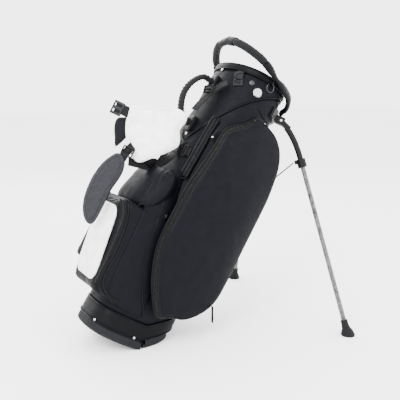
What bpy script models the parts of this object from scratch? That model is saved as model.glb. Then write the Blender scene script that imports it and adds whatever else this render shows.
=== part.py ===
"""Golf stand bag, leaning on its two opened legs with its boot flat on the ground.

Every piece is laid out in the bag's own frame: X towards the legs, -Y the near side,
Z up along the tube from the ridge of the boot.  One empty leans that frame over by LEAN,
so the world's Z = 0 is the ground and the origin is on the boot's ground facet.
"""
import math

import bmesh
import bpy
from mathutils import Matrix, Quaternion, Vector

# ---- whole bag -------------------------------------------------------------------------
LEAN = math.radians(30.5)            # tilt of the tube when it stands on its legs
GAP = 0.0003                         # running gap between touching pieces
SEAM_GAP = 0.0008                    # the same between sewn panels, whose edges slant
FACET_LENGTH = 0.012                 # ground facet of the fixed boot half, along the ground
ROUND = 40                           # segments round the tube

# ---- tube section: superellipse, from the boot to the rim --------------------------------
BASE_HEIGHT, RIM_HEIGHT = 0.034, 0.848
BASE_DEPTH, RIM_DEPTH = 0.127, 0.103      # half sizes towards the legs
BASE_WIDTH, RIM_WIDTH = 0.100, 0.126      # half sizes across
BASE_SHIFT = -0.019                       # centre of the base, towards the spine
BASE_POWER, RIM_POWER = 3.0, 2.1          # squareness of the section

# ---- shells ----------------------------------------------------------------------------
WALL = 0.004
BOOT_WALL, BOOT_FLOOR, BOOT_HEIGHT = 0.005, 0.006, 0.024
CUFF_HEIGHT = 0.048
RIM_BAND_TOP, RIM_BAND_WALL = 0.868, 0.010
SEAM_LOW, SEAM_RISE = 0.597, 0.238        # the collar's lower edge climbs to the leg side

# ---- boot hinge, in ground directions from the ridge ----------------------------------
HINGE_X, HINGE_Z = 0.0195, 0.0095
PIN_RADIUS, PIN_BORE = 0.0020, 0.0023
BARREL_RADIUS, BARREL_HALF = 0.0055, 0.0775
LUG_INNER, LUG_OUTER = 0.0785, 0.0895
TOE_DEPTH, TOE_WIDTH, TOE_SHIFT = 0.147, 0.101, -0.022

# ---- legs ----------------------------------------------------------------------------
LEG_PIVOT = Vector((0.105, -0.090, 0.788))
LEG_CLAMP = Vector((0.210, -0.130, 0.710))     # where the straight tube starts
FOOT_ON_GROUND = Vector((0.594, -0.307, 0.0))  # ground directions from the ridge
LEG_STOWED = Vector((-0.012, 0.045, -1.0))     # the tube's direction when folded
LEG_RADIUS, SLEEVE_RADIUS = 0.007, 0.0095
EYE_RADIUS, EYE_LENGTH, EYE_BORE, PIVOT_RADIUS = 0.0105, 0.0120, 0.0040, 0.0036
FOOT_HEIGHT, FOOT_RADIUS, FOOT_NECK = 0.046, 0.021, 0.0105
NECK_DROP = 0.35                               # slope of the neck where it leaves the pivot
BEND_START = 0.20                              # share of the sleeve's bend left to its flat neck
CLAMP_RADIUS, CLAMP_LENGTH, CLAMP_BORE = 0.0138, 0.026, 0.0104
SLIDER_AT = Vector((0.120, 0.012, 0.4328))     # near strut's pivot is mirrored to -Y
STRUT_REACH = 0.024                            # clamp axis to the strut's free end
STRUT_RADIUS, ROD_RADIUS = 0.0022, 0.0030
GUIDE_HEIGHT, ROD_FOOT = 0.220, 0.0990

# ---- handles ---------------------------------------------------------------------------
ARM_RADIUS, GRIP_RADIUS, CROWN_RADIUS = 0.0075, 0.0100, 0.0090
HANDLE_PATH = [Vector(p) for p in (
    (0.108, -0.080, 0.814), (0.102, -0.100, 0.830), (0.070, -0.1235, 0.850),
    (0.000, -0.1415, 0.862), (-0.058, -0.131, 0.887), (-0.100, -0.093, 0.906),
    (-0.124, -0.050, 0.918), (-0.131, 0.000, 0.925))]

# ---- pockets: (low, high) angles round the tube in degrees, heights along it ------------
APPAREL_EDGE = [(0.006, 0.734), (-0.024, 0.697), (-0.055, 0.671), (-0.074, 0.645), (-0.077, 0.593),
                (-0.085, 0.534), (-0.095, 0.460), (-0.097, 0.400), (-0.100, 0.332), (-0.095, 0.285),
                (-0.079, 0.235), (-0.054, 0.185), (-0.008, 0.124), (0.030, 0.130), (0.063, 0.136),
                (0.096, 0.158), (0.124, 0.192), (0.138, 0.230), (0.142, 0.285), (0.143, 0.341),
                (0.144, 0.400), (0.145, 0.458), (0.146, 0.538), (0.142, 0.590), (0.132, 0.646),
                (0.110, 0.690), (0.078, 0.717), (0.043, 0.729)]   # big pocket's edge: (towards legs, up)
APPAREL_CENTRE = (0.050, 0.425)
APPAREL_FRONT, APPAREL_CROWN = 0.150, 0.020      # edge's and crown's distance out from the middle
APPAREL_ZIP, APPAREL_FLARE = 0.125, 0.012        # the zip's line, and how far it stands out
APPAREL_ROOT = 0.040                             # where the pocket's walls meet inside the tube
VALUABLES = dict(angles=(132, 151), heights=(0.496, 0.672), depth=0.011)
UPPER = dict(angles=(139, 214), heights=(0.378, 0.492), depth=0.058)
BALL_LOW, BALL_HIGH, BALL_FRONT, BALL_BACK, BALL_HALF = 0.096, 0.368, -0.236, -0.120, 0.106
BALL_FRONT_HALF, BALL_SLOPE = 0.078, 0.040         # the front is narrower, and steps back at the bottom
PANEL_THICKNESS = 0.004

# ---- shoulder strap: pads face sideways, their outlines drawn in (across, up) ---------
PAD_ACROSS = Vector((0.8, -0.6, 0.0))
YOKE_CENTRE, YOKE_THICKNESS = Vector((-0.215, -0.030, 0.569)), 0.016
YOKE_OUTLINE = [(-0.105, 0.040), (0.023, 0.092), (0.060, 0.073), (0.055, 0.035), (0.074, -0.010),
                (0.018, -0.073), (-0.018, -0.100), (-0.068, -0.058), (-0.096, -0.006)]
LINING_CENTRE, LINING_THICKNESS = Vector((-0.284, 0.040, 0.545)), 0.010
LINING_OUTLINE = [(-0.030, 0.018), (0.020, 0.036), (0.024, -0.010), (0.012, -0.045), (-0.022, -0.018)]
PAD_CENTRE, PAD_THICKNESS = Vector((-0.279, -0.024, 0.360)), 0.018
PAD_OUTLINE = [(-0.012, 0.110), (-0.034, 0.072), (-0.044, 0.020), (-0.038, -0.044), (-0.016, -0.088),
               (0.014, -0.102), (0.021, -0.050), (0.022, 0.006), (0.026, 0.062), (0.014, 0.100)]
WEB_WIDTH, LOWER_WEB_WIDTH, WEB_THICKNESS = 0.024, 0.020, 0.0024
UPPER_WEB = [Vector(p) for p in (
    (-0.1075, -0.070, 0.796), (-0.1155, -0.058, 0.782), (-0.122, -0.048, 0.762), (-0.131, -0.043, 0.738),
    (-0.146, -0.048, 0.706), (-0.155, -0.052, 0.680))]
LOWER_WEB = [Vector(p) for p in (
    (-0.1212, -0.012, 0.596), (-0.1222, -0.012, 0.575), (-0.1245, -0.012, 0.552), (-0.147, -0.012, 0.514),
    (-0.176, -0.012, 0.482), (-0.211, -0.012, 0.471), (-0.246, -0.012, 0.462))]
SLIDE_BUCKLE = Vector((-0.138, -0.041, 0.757))
LADDER_LOCK = Vector((-0.1295, -0.012, 0.567))
YOKE_BUCKLE = Vector((-0.322, 0.052, 0.586))

# ---- trim ---------------------------------------------------------------------------------
PANEL_LIFT = 0.0022                                  # clear of the collar panel
RING_AT = Vector((-0.016, -0.1350, 0.846))
RING_RADIUS, RING_WIRE, RING_LOOP = 0.0125, 0.0013, 0.005
APPAREL_PULL_AT = Vector((0.1340, -0.150, 0.200))
BALL_PULL_AT = Vector((-0.2440, -0.052, 0.352))
ZIP_START, ZIP_END = Vector((-0.0935, -0.1105, 0.640)), Vector((-0.110, -0.0985, 0.540))


def clear_scene():
    for obj in list(bpy.data.objects):
        bpy.data.objects.remove(obj, do_unlink=True)


def collection(name):
    made = bpy.data.collections.new(name)
    bpy.context.scene.collection.children.link(made)
    return made


def material(name, colour, roughness=0.6, metallic=0.0):
    made = bpy.data.materials.new(name)
    made.use_nodes = True
    shader = made.node_tree.nodes["Principled BSDF"]
    shader.inputs["Base Color"].default_value = (*colour, 1.0)
    shader.inputs["Roughness"].default_value = roughness
    shader.inputs["Metallic"].default_value = metallic
    return made


def empty(name, at=(0, 0, 0), parent=None, rotation=None):
    made = bpy.data.objects.new(name, None)
    PARTS.objects.link(made)
    made.location = at
    made.rotation_mode = "QUATERNION"
    made.rotation_quaternion = rotation or Quaternion()
    made.parent = parent
    return made


# ---- placing and joining ----------------------------------------------------------------
def add(name, bm, finish, body, at=(0, 0, 0), rotation=None, smooth=True):
    """Makes a named piece from bm, whose points are relative to at in the bag's frame."""
    bmesh.ops.recalc_face_normals(bm, faces=bm.faces)
    mesh = bpy.data.meshes.new(name)
    bm.to_mesh(mesh)
    bm.free()
    mesh.materials.append(finish)
    if smooth:
        mesh.shade_smooth()
        mesh.set_sharp_from_angle(angle=math.radians(40))
    obj = bpy.data.objects.new(name, mesh)
    PARTS.objects.link(obj)
    obj.parent = body
    offset = body.location if body is not BAG else Vector((0, 0, 0))
    obj.location = Vector(at) - offset
    obj.rotation_mode = "QUATERNION"
    obj.rotation_quaternion = rotation or Quaternion()
    return obj


def combine(obj, other, operation):
    """Adds a Boolean to obj; the other object becomes a hidden cutter."""
    PARTS.objects.unlink(other)
    CUTTERS.objects.link(other)
    other.hide_render = True
    other.display_type = "WIRE"
    modifier = obj.modifiers.new(operation.lower(), "BOOLEAN")
    modifier.object = other
    modifier.operation = operation
    modifier.solver = "EXACT"
    return obj


def cut(obj, other):
    return combine(obj, other, "DIFFERENCE")


def join(obj, other):
    return combine(obj, other, "UNION")


def turn_to(direction):
    """Rotation that takes +Z to the given direction."""
    return Vector((0, 0, 1)).rotation_difference(Vector(direction).normalized())


def cylinder_mesh(radius, length, sides=20, top_radius=None):
    """A cylinder from z = 0 to z = length."""
    bm = bmesh.new()
    bmesh.ops.create_cone(bm, cap_ends=True, segments=sides, radius1=radius,
                          radius2=radius if top_radius is None else top_radius, depth=length)
    bmesh.ops.translate(bm, verts=bm.verts, vec=(0, 0, length / 2))
    return bm


def box_mesh(size, centre=(0, 0, 0), bevel=0.0):
    bm = bmesh.new()
    bmesh.ops.create_cube(bm, size=1.0)
    bmesh.ops.scale(bm, verts=bm.verts, vec=size)
    if bevel:
        bmesh.ops.bevel(bm, geom=bm.edges[:], offset=bevel, segments=2, affect="EDGES", profile=0.5)
    bmesh.ops.translate(bm, verts=bm.verts, vec=centre)
    return bm


def rod(name, start, end, radius, finish, body, sides=16):
    """A straight round piece between two points of the bag's frame."""
    along = Vector(end) - Vector(start)
    return add(name, cylinder_mesh(radius, along.length, sides), finish, body, at=start,
               rotation=turn_to(along))


def keep_side(bm, point, normal):
    """Cuts bm by a plane, keeps the side the normal points away from, and closes it."""
    geometry = bm.verts[:] + bm.edges[:] + bm.faces[:]
    result = bmesh.ops.bisect_plane(bm, geom=geometry, plane_co=point, plane_no=normal,
                                    clear_outer=True)
    edges = [e for e in result["geom_cut"] if isinstance(e, bmesh.types.BMEdge)]
    bmesh.ops.holes_fill(bm, edges=edges, sides=0)


def smooth_path(points, steps):
    """Points on a Catmull-Rom curve through the given ones."""
    padded = [2 * points[0] - points[1]] + list(points) + [2 * points[-1] - points[-2]]
    path = []
    for a, b, c, d in zip(padded, padded[1:], padded[2:], padded[3:]):
        for i in range(steps):
            t = i / steps
            path.append(0.5 * (2 * b + (c - a) * t + (2 * a - 5 * b + 4 * c - d) * t * t
                               + (3 * b - a - 3 * c + d) * t ** 3))
    path.append(points[-1].copy())
    return path


def tube_piece(name, path, radius, finish, body, at=(0, 0, 0), sides=3):
    """A bent round bar along a path, as a closed mesh."""
    curve = bpy.data.curves.new(name, "CURVE")
    curve.dimensions = "3D"
    curve.bevel_depth = radius
    curve.bevel_resolution = sides
    curve.use_fill_caps = True
    spline = curve.splines.new("POLY")
    spline.points.add(len(path) - 1)
    for point, place in zip(spline.points, path):
        point.co = (*(place - Vector(at)), 1)
    source = bpy.data.objects.new(name, curve)
    PARTS.objects.link(source)
    bpy.context.view_layer.update()
    mesh = bpy.data.meshes.new_from_object(source.evaluated_get(bpy.context.evaluated_depsgraph_get()))
    bpy.data.objects.remove(source)
    bm = bmesh.new()
    bm.from_mesh(mesh)
    bmesh.ops.remove_doubles(bm, verts=bm.verts, dist=0.00001)
    bpy.data.meshes.remove(mesh)
    return add(name, bm, finish, body, at=at)


def outline_piece(name, points, thickness, finish, body, at=(0, 0, 0), rotation=None, bevel=0.0):
    """A flat shape: a closed outline in its own X-Y plane, thick along Z, with softened rims."""
    bm = bmesh.new()
    ring = [bm.verts.new((x, y, -thickness / 2)) for x, y in points]
    face = bm.faces.new(ring)
    raised = bmesh.ops.extrude_face_region(bm, geom=[face])
    top = [v for v in raised["geom"] if isinstance(v, bmesh.types.BMVert)]
    bmesh.ops.translate(bm, verts=top, vec=(0, 0, thickness))
    if bevel:
        rims = [e for e in bm.edges if abs(e.verts[0].co.z - e.verts[1].co.z) < thickness / 4]
        bmesh.ops.bevel(bm, geom=rims, offset=bevel, segments=2, affect="EDGES", profile=0.5)
    return add(name, bm, finish, body, at=at, rotation=rotation)


def rounded_outline(width, height, radius, steps=4):
    points = []
    for quarter, (sx, sy) in enumerate(((1, 1), (-1, 1), (-1, -1), (1, -1))):
        for i in range(steps + 1):
            angle = math.radians(90) * (quarter + i / steps)
            points.append((sx * (width / 2 - radius) + radius * math.cos(angle),
                           sy * (height / 2 - radius) + radius * math.sin(angle)))
    return points


# ---- the tube's surface ---------------------------------------------------------------
def blend(low, high, height):
    share = (height - BASE_HEIGHT) / (RIM_HEIGHT - BASE_HEIGHT)
    return low + (high - low) * share


def skin(angle, height, offset=0.0):
    """Point on the tube: angle in degrees from the leg side, through the near side."""
    power = 2.0 / blend(BASE_POWER, RIM_POWER, height)
    c, s = math.cos(math.radians(angle)), math.sin(math.radians(angle))
    x = math.copysign(abs(c) ** power, c) * (blend(BASE_DEPTH, RIM_DEPTH, height) + offset)
    y = math.copysign(abs(s) ** power, s) * (blend(BASE_WIDTH, RIM_WIDTH, height) + offset)
    return Vector((x + blend(BASE_SHIFT, 0.0, height), -y, height))


def boot_line(x):
    """Height of the boot's upper edge at a distance from the ridge."""
    over_toe = x * math.tan(LEAN) + BOOT_HEIGHT / math.cos(LEAN)
    return max(BOOT_HEIGHT, over_toe)


def cuff_low(angle):
    return boot_line(skin(angle, BASE_HEIGHT).x) + SEAM_GAP


def cuff_high(angle):
    return cuff_low(angle) + CUFF_HEIGHT


def seam(angle):
    """The curved seam between the tube and the collar."""
    from_spine = min(abs(180 - angle % 360), 130) / 130
    return SEAM_LOW + SEAM_RISE * math.sin(math.radians(90) * from_spine) ** 1.1


def shell(name, low, high, offset, thickness, finish, rows=3, angles=None):
    """A wall that follows the tube between two edge curves, thickened inwards."""
    bm = bmesh.new()
    steps = angles or [360 * i / ROUND for i in range(ROUND)]
    rings = []
    for row in range(rows + 1):
        ring = []
        for angle in steps:
            height = low(angle) + (high(angle) - low(angle)) * row / rows
            ring.append(bm.verts.new(skin(angle, height, offset)))
        rings.append(ring)
    closed = angles is None
    for a, b in zip(rings, rings[1:]):
        for i in range(len(steps) if closed else len(steps) - 1):
            j = (i + 1) % len(steps)
            bm.faces.new((a[i], b[i], b[j], a[j]))
    obj = add(name, bm, finish, BAG)
    solid = obj.modifiers.new("wall", "SOLIDIFY")
    solid.thickness = thickness
    solid.offset = -1.0
    solid.use_even_offset = True
    return obj


def envelope(offset, steps=9):
    """A solid the size of the tube grown by offset, for trimming what sits against it."""
    bm = bmesh.new()
    rings = []
    for step in range(steps + 1):
        height = RIM_HEIGHT * step / steps
        rings.append([bm.verts.new(skin(360 * i / ROUND, height, offset)) for i in range(ROUND)])
    for low, high in zip(rings, rings[1:]):
        for i in range(ROUND):
            j = (i + 1) % ROUND
            bm.faces.new((low[i], low[j], high[j], high[i]))
    bm.faces.new(rings[0])
    bm.faces.new(rings[-1])
    return add("tube_envelope", bm, SHADOW, BAG)


def pillow(name, angles, heights, depth, finish, mirror=False, roundness=0.5, edge=0.72, slope=0.0):
    """A pocket sewn on the tube: a rounded patch raised off the skin, fullest in the middle."""
    bm = bmesh.new()
    across, along = 8, 10
    bmesh.ops.create_grid(bm, x_segments=across, y_segments=along, size=1.0)
    raised = bmesh.ops.extrude_face_region(bm, geom=bm.faces[:])
    outer = {v for v in raised["geom"] if isinstance(v, bmesh.types.BMVert)}
    middle, half = (angles[0] + angles[1]) / 2, (angles[1] - angles[0]) / 2
    centre, tall = (heights[0] + heights[1]) / 2, (heights[1] - heights[0]) / 2
    for vert in bm.verts:
        s, t = vert.co.x, vert.co.y
        angle = middle + half * s * math.sqrt(1 - roundness * t * t / 2)
        height = centre + tall * t * math.sqrt(1 - roundness * s * s / 2)
        full = edge + (1 - edge) * (1 - s * s) * (1 - t ** 4)
        if vert in outer:
            offset = depth * full * (1 + slope * t)
        else:
            offset = 4 * GAP
        vert.co = skin(-angle if mirror else angle, height, offset)
    return add(name, bm, finish, BAG)


# ---- base -----------------------------------------------------------------------------
GROUND_TURN = Quaternion((0, 1, 0), -LEAN)


def ground(x, y, z):
    """A point given along the ground from the ridge, in the bag's frame."""
    point = Vector((x, y, z))
    point.rotate(GROUND_TURN)
    return point


def boot_block(depth, width, shift, height, power):
    """A superellipse block from z = 0 up, before it is cut into the boot's halves."""
    bm = bmesh.new()
    rings = []
    chamfer = 0.2 * height
    for z, inset in ((0.0, chamfer), (chamfer, 0.0), (height, 0.0)):
        ring = []
        for i in range(ROUND):
            c, s = math.cos(math.tau * i / ROUND), math.sin(math.tau * i / ROUND)
            x = math.copysign(abs(c) ** (2 / power), c) * (depth - inset) + shift
            y = math.copysign(abs(s) ** (2 / power), s) * (width - inset)
            ring.append(bm.verts.new((x, y, z)))
        rings.append(ring)
    for low, high in zip(rings, rings[1:]):
        for i in range(ROUND):
            j = (i + 1) % ROUND
            bm.faces.new((low[i], low[j], high[j], high[i]))
    bm.faces.new(rings[0])
    bm.faces.new(rings[-1])
    return bm


def boot_heel():
    """Fixed half of the boot: a shallow cup behind the ridge, with the hinge lugs."""
    block = boot_block(BASE_DEPTH, BASE_WIDTH, BASE_SHIFT, BOOT_HEIGHT, BASE_POWER)
    keep_side(block, (0, 0, 0), ground(0, 0, -1))
    keep_side(block, ground(FACET_LENGTH, 0, 0), ground(1, 0, 0))
    heel = add("boot_heel", block, RUBBER, BAG)
    hollow = boot_block(BASE_DEPTH - BOOT_WALL, BASE_WIDTH - BOOT_WALL, BASE_SHIFT, BOOT_HEIGHT,
                        BASE_POWER)
    bmesh.ops.translate(hollow, verts=hollow.verts, vec=(0, 0, BOOT_FLOOR))
    keep_side(hollow, (-0.010, 0, 0), (1, 0, 0))
    cut(heel, add("heel_hollow", hollow, SHADOW, BAG))
    for side in (-1, 1):
        width = LUG_OUTER - LUG_INNER
        lug = box_mesh((0.017, width, 0.013), (FACET_LENGTH + 0.0055, side * (LUG_INNER + width / 2), 0.0095))
        join(heel, add("hinge_lug", lug, RUBBER, BAG, rotation=GROUND_TURN))
    bore = cylinder_mesh(PIN_BORE, 2 * LUG_OUTER + 0.01, 12)
    bmesh.ops.translate(bore, verts=bore.verts, vec=(0, 0, -LUG_OUTER - 0.005))
    cut(heel, add("heel_bore", bore, SHADOW, BAG, at=ground(HINGE_X, 0, HINGE_Z),
                  rotation=turn_to((0, 1, 0))))


def boot_toe():
    """Hinged half of the boot: a tray that lies flat on the ground and drives the legs."""
    block = boot_block(TOE_DEPTH, TOE_WIDTH, TOE_SHIFT, BOOT_HEIGHT, BASE_POWER)
    keep_side(block, (HINGE_X, 0, 0), (-1, 0, 0))
    bmesh.ops.translate(block, verts=block.verts, vec=(-HINGE_X, 0, -HINGE_Z))
    toe = add("boot_toe", block, RUBBER, TOE, at=TOE.location, rotation=GROUND_TURN)
    hollow = boot_block(TOE_DEPTH - BOOT_WALL, TOE_WIDTH - BOOT_WALL, TOE_SHIFT, BOOT_HEIGHT, BASE_POWER)
    keep_side(hollow, (HINGE_X + 0.0085, 0, 0), (-1, 0, 0))
    bmesh.ops.translate(hollow, verts=hollow.verts, vec=(-HINGE_X, 0, BOOT_FLOOR - HINGE_Z))
    cut(toe, add("toe_hollow", hollow, SHADOW, TOE, at=TOE.location, rotation=GROUND_TURN))
    above = box_mesh((0.017, 0.21, 0.03), (0.0, 0, BARREL_RADIUS - 0.004 + 0.015))
    cut(toe, add("toe_front_relief", above, SHADOW, TOE, at=TOE.location, rotation=GROUND_TURN))
    barrel = cylinder_mesh(BARREL_RADIUS, 2 * BARREL_HALF, 16)
    bmesh.ops.translate(barrel, verts=barrel.verts, vec=(0, 0, -BARREL_HALF))
    join(toe, add("toe_barrel", barrel, RUBBER, TOE, at=TOE.location, rotation=turn_to((0, 1, 0))))
    tab = box_mesh((0.036, 0.024, 0.006), (0.1195, 0, -0.0035))
    join(toe, add("toe_tab", tab, RUBBER, TOE, at=TOE.location, rotation=GROUND_TURN))
    for side in (-1, 1):
        width = 0.012 + 2 * GAP
        relief = box_mesh((0.024, width, 0.05), (0.0, side * (LUG_INNER + 0.0055), 0.0))
        cut(toe, add("lug_relief", relief, SHADOW, TOE, at=TOE.location, rotation=GROUND_TURN))
    bore = cylinder_mesh(PIN_BORE, 2 * BARREL_HALF + 0.01, 12)
    bmesh.ops.translate(bore, verts=bore.verts, vec=(0, 0, -BARREL_HALF - 0.005))
    cut(toe, add("toe_bore", bore, SHADOW, TOE, at=TOE.location, rotation=turn_to((0, 1, 0))))


def base():
    boot_heel()
    boot_toe()
    end = ground(HINGE_X, LUG_OUTER, HINGE_Z)
    start = ground(HINGE_X, -LUG_OUTER, HINGE_Z)
    rod("toe_hinge_pin", start, end, PIN_RADIUS, STEEL, BAG, 12)
    shell("base_cuff", cuff_low, cuff_high, 0.0, WALL, LEATHER, rows=2)
    floor = boot_block(TOE_DEPTH - 0.014, TOE_WIDTH - 0.014, TOE_SHIFT, 0.003, BASE_POWER)
    keep_side(floor, (HINGE_X + 0.012, 0, 0), (-1, 0, 0))
    bmesh.ops.translate(floor, verts=floor.verts, vec=(0, 0, 0.0085))
    add("inner_floor", floor, FABRIC, BAG, rotation=GROUND_TURN)


# ---- body -----------------------------------------------------------------------------
def body():
    shell("body_tube", lambda a: cuff_high(a) + SEAM_GAP, lambda a: seam(a) - SEAM_GAP, 0.0, WALL, LEATHER, rows=4)
    shell("collar", lambda a: seam(a) + SEAM_GAP, lambda a: RIM_HEIGHT, 0.001, 0.005, LEATHER, rows=2)
    shell("rim_band", lambda a: RIM_HEIGHT + SEAM_GAP, lambda a: RIM_BAND_TOP, 0.003, RIM_BAND_WALL,
          TRIM, rows=1)
    divider_frame()
    for name, x in (("front_divider", 0.031), ("rear_divider", -0.031)):
        half_low, half_high = 0.080, 0.104
        corners = [(-half_low, 0.16), (half_low, 0.16), (half_high, 0.828), (-half_high, 0.828)]
        outline_piece(name, corners, 0.0016, FABRIC, BAG, at=(x, 0, 0),
                      rotation=Matrix(((0, 0, 1), (1, 0, 0), (0, 1, 0))).to_quaternion())
    for name, angle in (("near_stay", 90), ("far_stay", 270), ("spine_stay", 180)):
        top = 0.590 if angle == 180 else 0.800
        rod(name, skin(angle, 0.11, -0.0085), skin(angle, top, -0.0085), 0.003, STEEL, BAG, 10)


def divider_frame():
    """Moulded grid in the mouth: an oval hoop with two cross ribs and one centre rib."""
    low, high = 0.833, 0.846
    hoop = shell("top_divider", lambda a: low, lambda a: high, -0.0052, 0.007, PLASTIC, rows=1)
    middle = (low + high) / 2
    bars = [((0.0045, 0.224, high - low), (x, 0, middle)) for x in (0.031, -0.031)]
    bars.append(((0.186, 0.0045, high - low), (0, 0, middle)))
    for size, centre in bars:
        join(hoop, add("divider_rib", box_mesh(size, centre), PLASTIC, BAG, smooth=False))
    return hoop


# ---- handles --------------------------------------------------------------------------
def mirror_points(points):
    return [Vector((p.x, -p.y, p.z)) for p in points]


def trim_ends(path):
    """The path with both ends drawn back by a gap."""
    first = path[0] + (path[1] - path[0]).normalized() * 2 * GAP
    last = path[-1] + (path[-2] - path[-1]).normalized() * 2 * GAP
    return [first] + path[1:-1] + [last]


def handles():
    path = smooth_path(HANDLE_PATH, 4)
    arm, grip, crown = path[:17], path[16:26], path[25:]
    for side, flip in (("near", False), ("far", True)):
        pieces = [trim_ends(arm), trim_ends(grip)]
        if flip:
            pieces = [mirror_points(p) for p in pieces]
        tube_piece("lift_handle_arm_" + side, pieces[0], ARM_RADIUS, PLASTIC, BAG)
        tube_piece("lift_grip_" + side, pieces[1], GRIP_RADIUS, FABRIC, BAG)
    crown = trim_ends(crown + list(reversed(mirror_points(crown[:-1]))))
    tube_piece("lift_handle_crown", crown, CROWN_RADIUS, GLOSS, BAG)
    top, bottom = skin(180, 0.792, 0.011), skin(180, 0.652, 0.011)
    bow = [top, top + Vector((-0.034, 0, -0.002)), Vector((-0.178, 0, 0.752)), Vector((-0.182, 0, 0.708)),
           bottom + Vector((-0.036, 0, 0.010)), bottom]
    tube_piece("grab_handle", smooth_path(bow, 4), 0.010, RIBBED, BAG)
    for name, height in (("grab_anchor_top", 0.792), ("grab_anchor_bottom", 0.652)):
        point = skin(180, height, 0.0)
        anchor = box_mesh((0.026, 0.034, 0.046), point + Vector((0, 0, 0)), 0.004)
        piece = add(name, anchor, PLASTIC, BAG)
        cut(piece, envelope(0.0016))
        socket = cylinder_mesh(0.0114, 0.03, 16)
        cut(piece, add("anchor_socket", socket, SHADOW, BAG, at=point + Vector((0.0085, 0, 0)),
                       rotation=turn_to((-1, 0, 0))))


# ---- legs -----------------------------------------------------------------------------
def leg_frame(side):
    """Points and directions of one leg in the bag's frame."""
    flip = Vector((1, side, 1))
    pivot, clamp = LEG_PIVOT * flip, LEG_CLAMP * flip
    foot = ground(*FOOT_ON_GROUND) * flip
    along = (foot - clamp).normalized()
    axis = along.cross(LEG_STOWED * flip).normalized()
    return pivot, clamp, foot, along, axis


def strut_end(side):
    """Free end of a strut, just inside the clamp."""
    _, clamp, _, along, _ = leg_frame(side)
    inward = Vector((SLIDER_AT.x - 0.002, 0, clamp.z - 0.25)) - clamp
    inward -= along * inward.dot(along)
    return clamp + inward.normalized() * STRUT_REACH


def housing(side, bracket):
    """Clevis of one leg, joined to the bracket."""
    pivot, _, _, _, axis = leg_frame(side)
    outward = axis.cross(Vector((0, 0, 1))).normalized()
    turn = Matrix((outward, axis, outward.cross(axis))).transposed().to_quaternion()
    block = box_mesh((0.046, EYE_LENGTH + 0.012, 0.024), (-0.012, 0, 0), 0.003)
    block = add("leg_housing", block, PLASTIC, BAG, at=pivot, rotation=turn)
    join(bracket, block)
    slot = box_mesh((0.060, EYE_LENGTH + 0.0016, 0.090), (0.0165, 0, 0))
    cut(bracket, add("housing_slot", slot, SHADOW, BAG, at=pivot, rotation=turn))
    bore = cylinder_mesh(PIVOT_RADIUS + GAP, 0.06, 12)
    bmesh.ops.translate(bore, verts=bore.verts, vec=(0, 0, -0.03))
    cut(bracket, add("housing_bore", bore, SHADOW, BAG, at=pivot, rotation=turn_to(axis)))


def leg_bracket():
    """Moulded yoke round the leg side of the tube, carrying both clevises."""
    angles = [-66 + 132 * i / 16 for i in range(17)]
    bracket = shell("leg_bracket", lambda a: 0.772, lambda a: 0.804, 0.0085, 0.007, PLASTIC, rows=1,
                    angles=angles)
    for side in (1, -1):
        housing(side, bracket)
    cut(bracket, envelope(0.0014))


def leg(side, label, joint):
    pivot, clamp, foot, along, axis = leg_frame(side)
    eye = cylinder_mesh(EYE_RADIUS, EYE_LENGTH, 20)
    bmesh.ops.translate(eye, verts=eye.verts, vec=(0, 0, -EYE_LENGTH / 2))
    sleeve = add("leg_sleeve_" + label, eye, PLASTIC, joint, at=pivot, rotation=turn_to(axis))
    neck = axis.cross(Vector((0, 0, 1))) + Vector((0, 0, -NECK_DROP))
    neck = (neck - axis * neck.dot(axis)).normalized()
    first, second = pivot + neck * 0.046, clamp - along * 0.050
    end = clamp + along * 0.020
    turn = Matrix((neck, axis, neck.cross(axis))).transposed().to_quaternion()
    link = box_mesh((0.036, EYE_LENGTH, 0.016), (0.018, 0, 0))
    join(sleeve, add("sleeve_neck", link, PLASTIC, joint, at=pivot, rotation=turn))
    path = []
    for i in range(9):
        t = BEND_START + (1 - BEND_START) * i / 8
        path.append(pivot * (1 - t) ** 3 + first * 3 * t * (1 - t) ** 2
                    + second * 3 * t * t * (1 - t) + clamp * t ** 3)
    path.append(end)
    join(sleeve, tube_piece("sleeve_bend", path, SLEEVE_RADIUS, PLASTIC, joint, at=joint.location, sides=2))
    bore = cylinder_mesh(EYE_BORE, 0.04, 12)
    bmesh.ops.translate(bore, verts=bore.verts, vec=(0, 0, -0.02))
    cut(sleeve, add("eye_bore", bore, SHADOW, joint, at=pivot, rotation=turn_to(axis)))
    half = axis * (EYE_LENGTH / 2 + 0.0058)
    rod("leg_pivot_pin_" + label, pivot - half, pivot + half, PIVOT_RADIUS, STEEL, BAG, 12)
    rod("leg_tube_" + label, end + along * GAP, foot - along * 0.020, LEG_RADIUS, CARBON, joint, 16)
    foot_piece(label, foot, along, joint)
    clamp_piece(side, label, clamp, along, joint)


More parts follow.
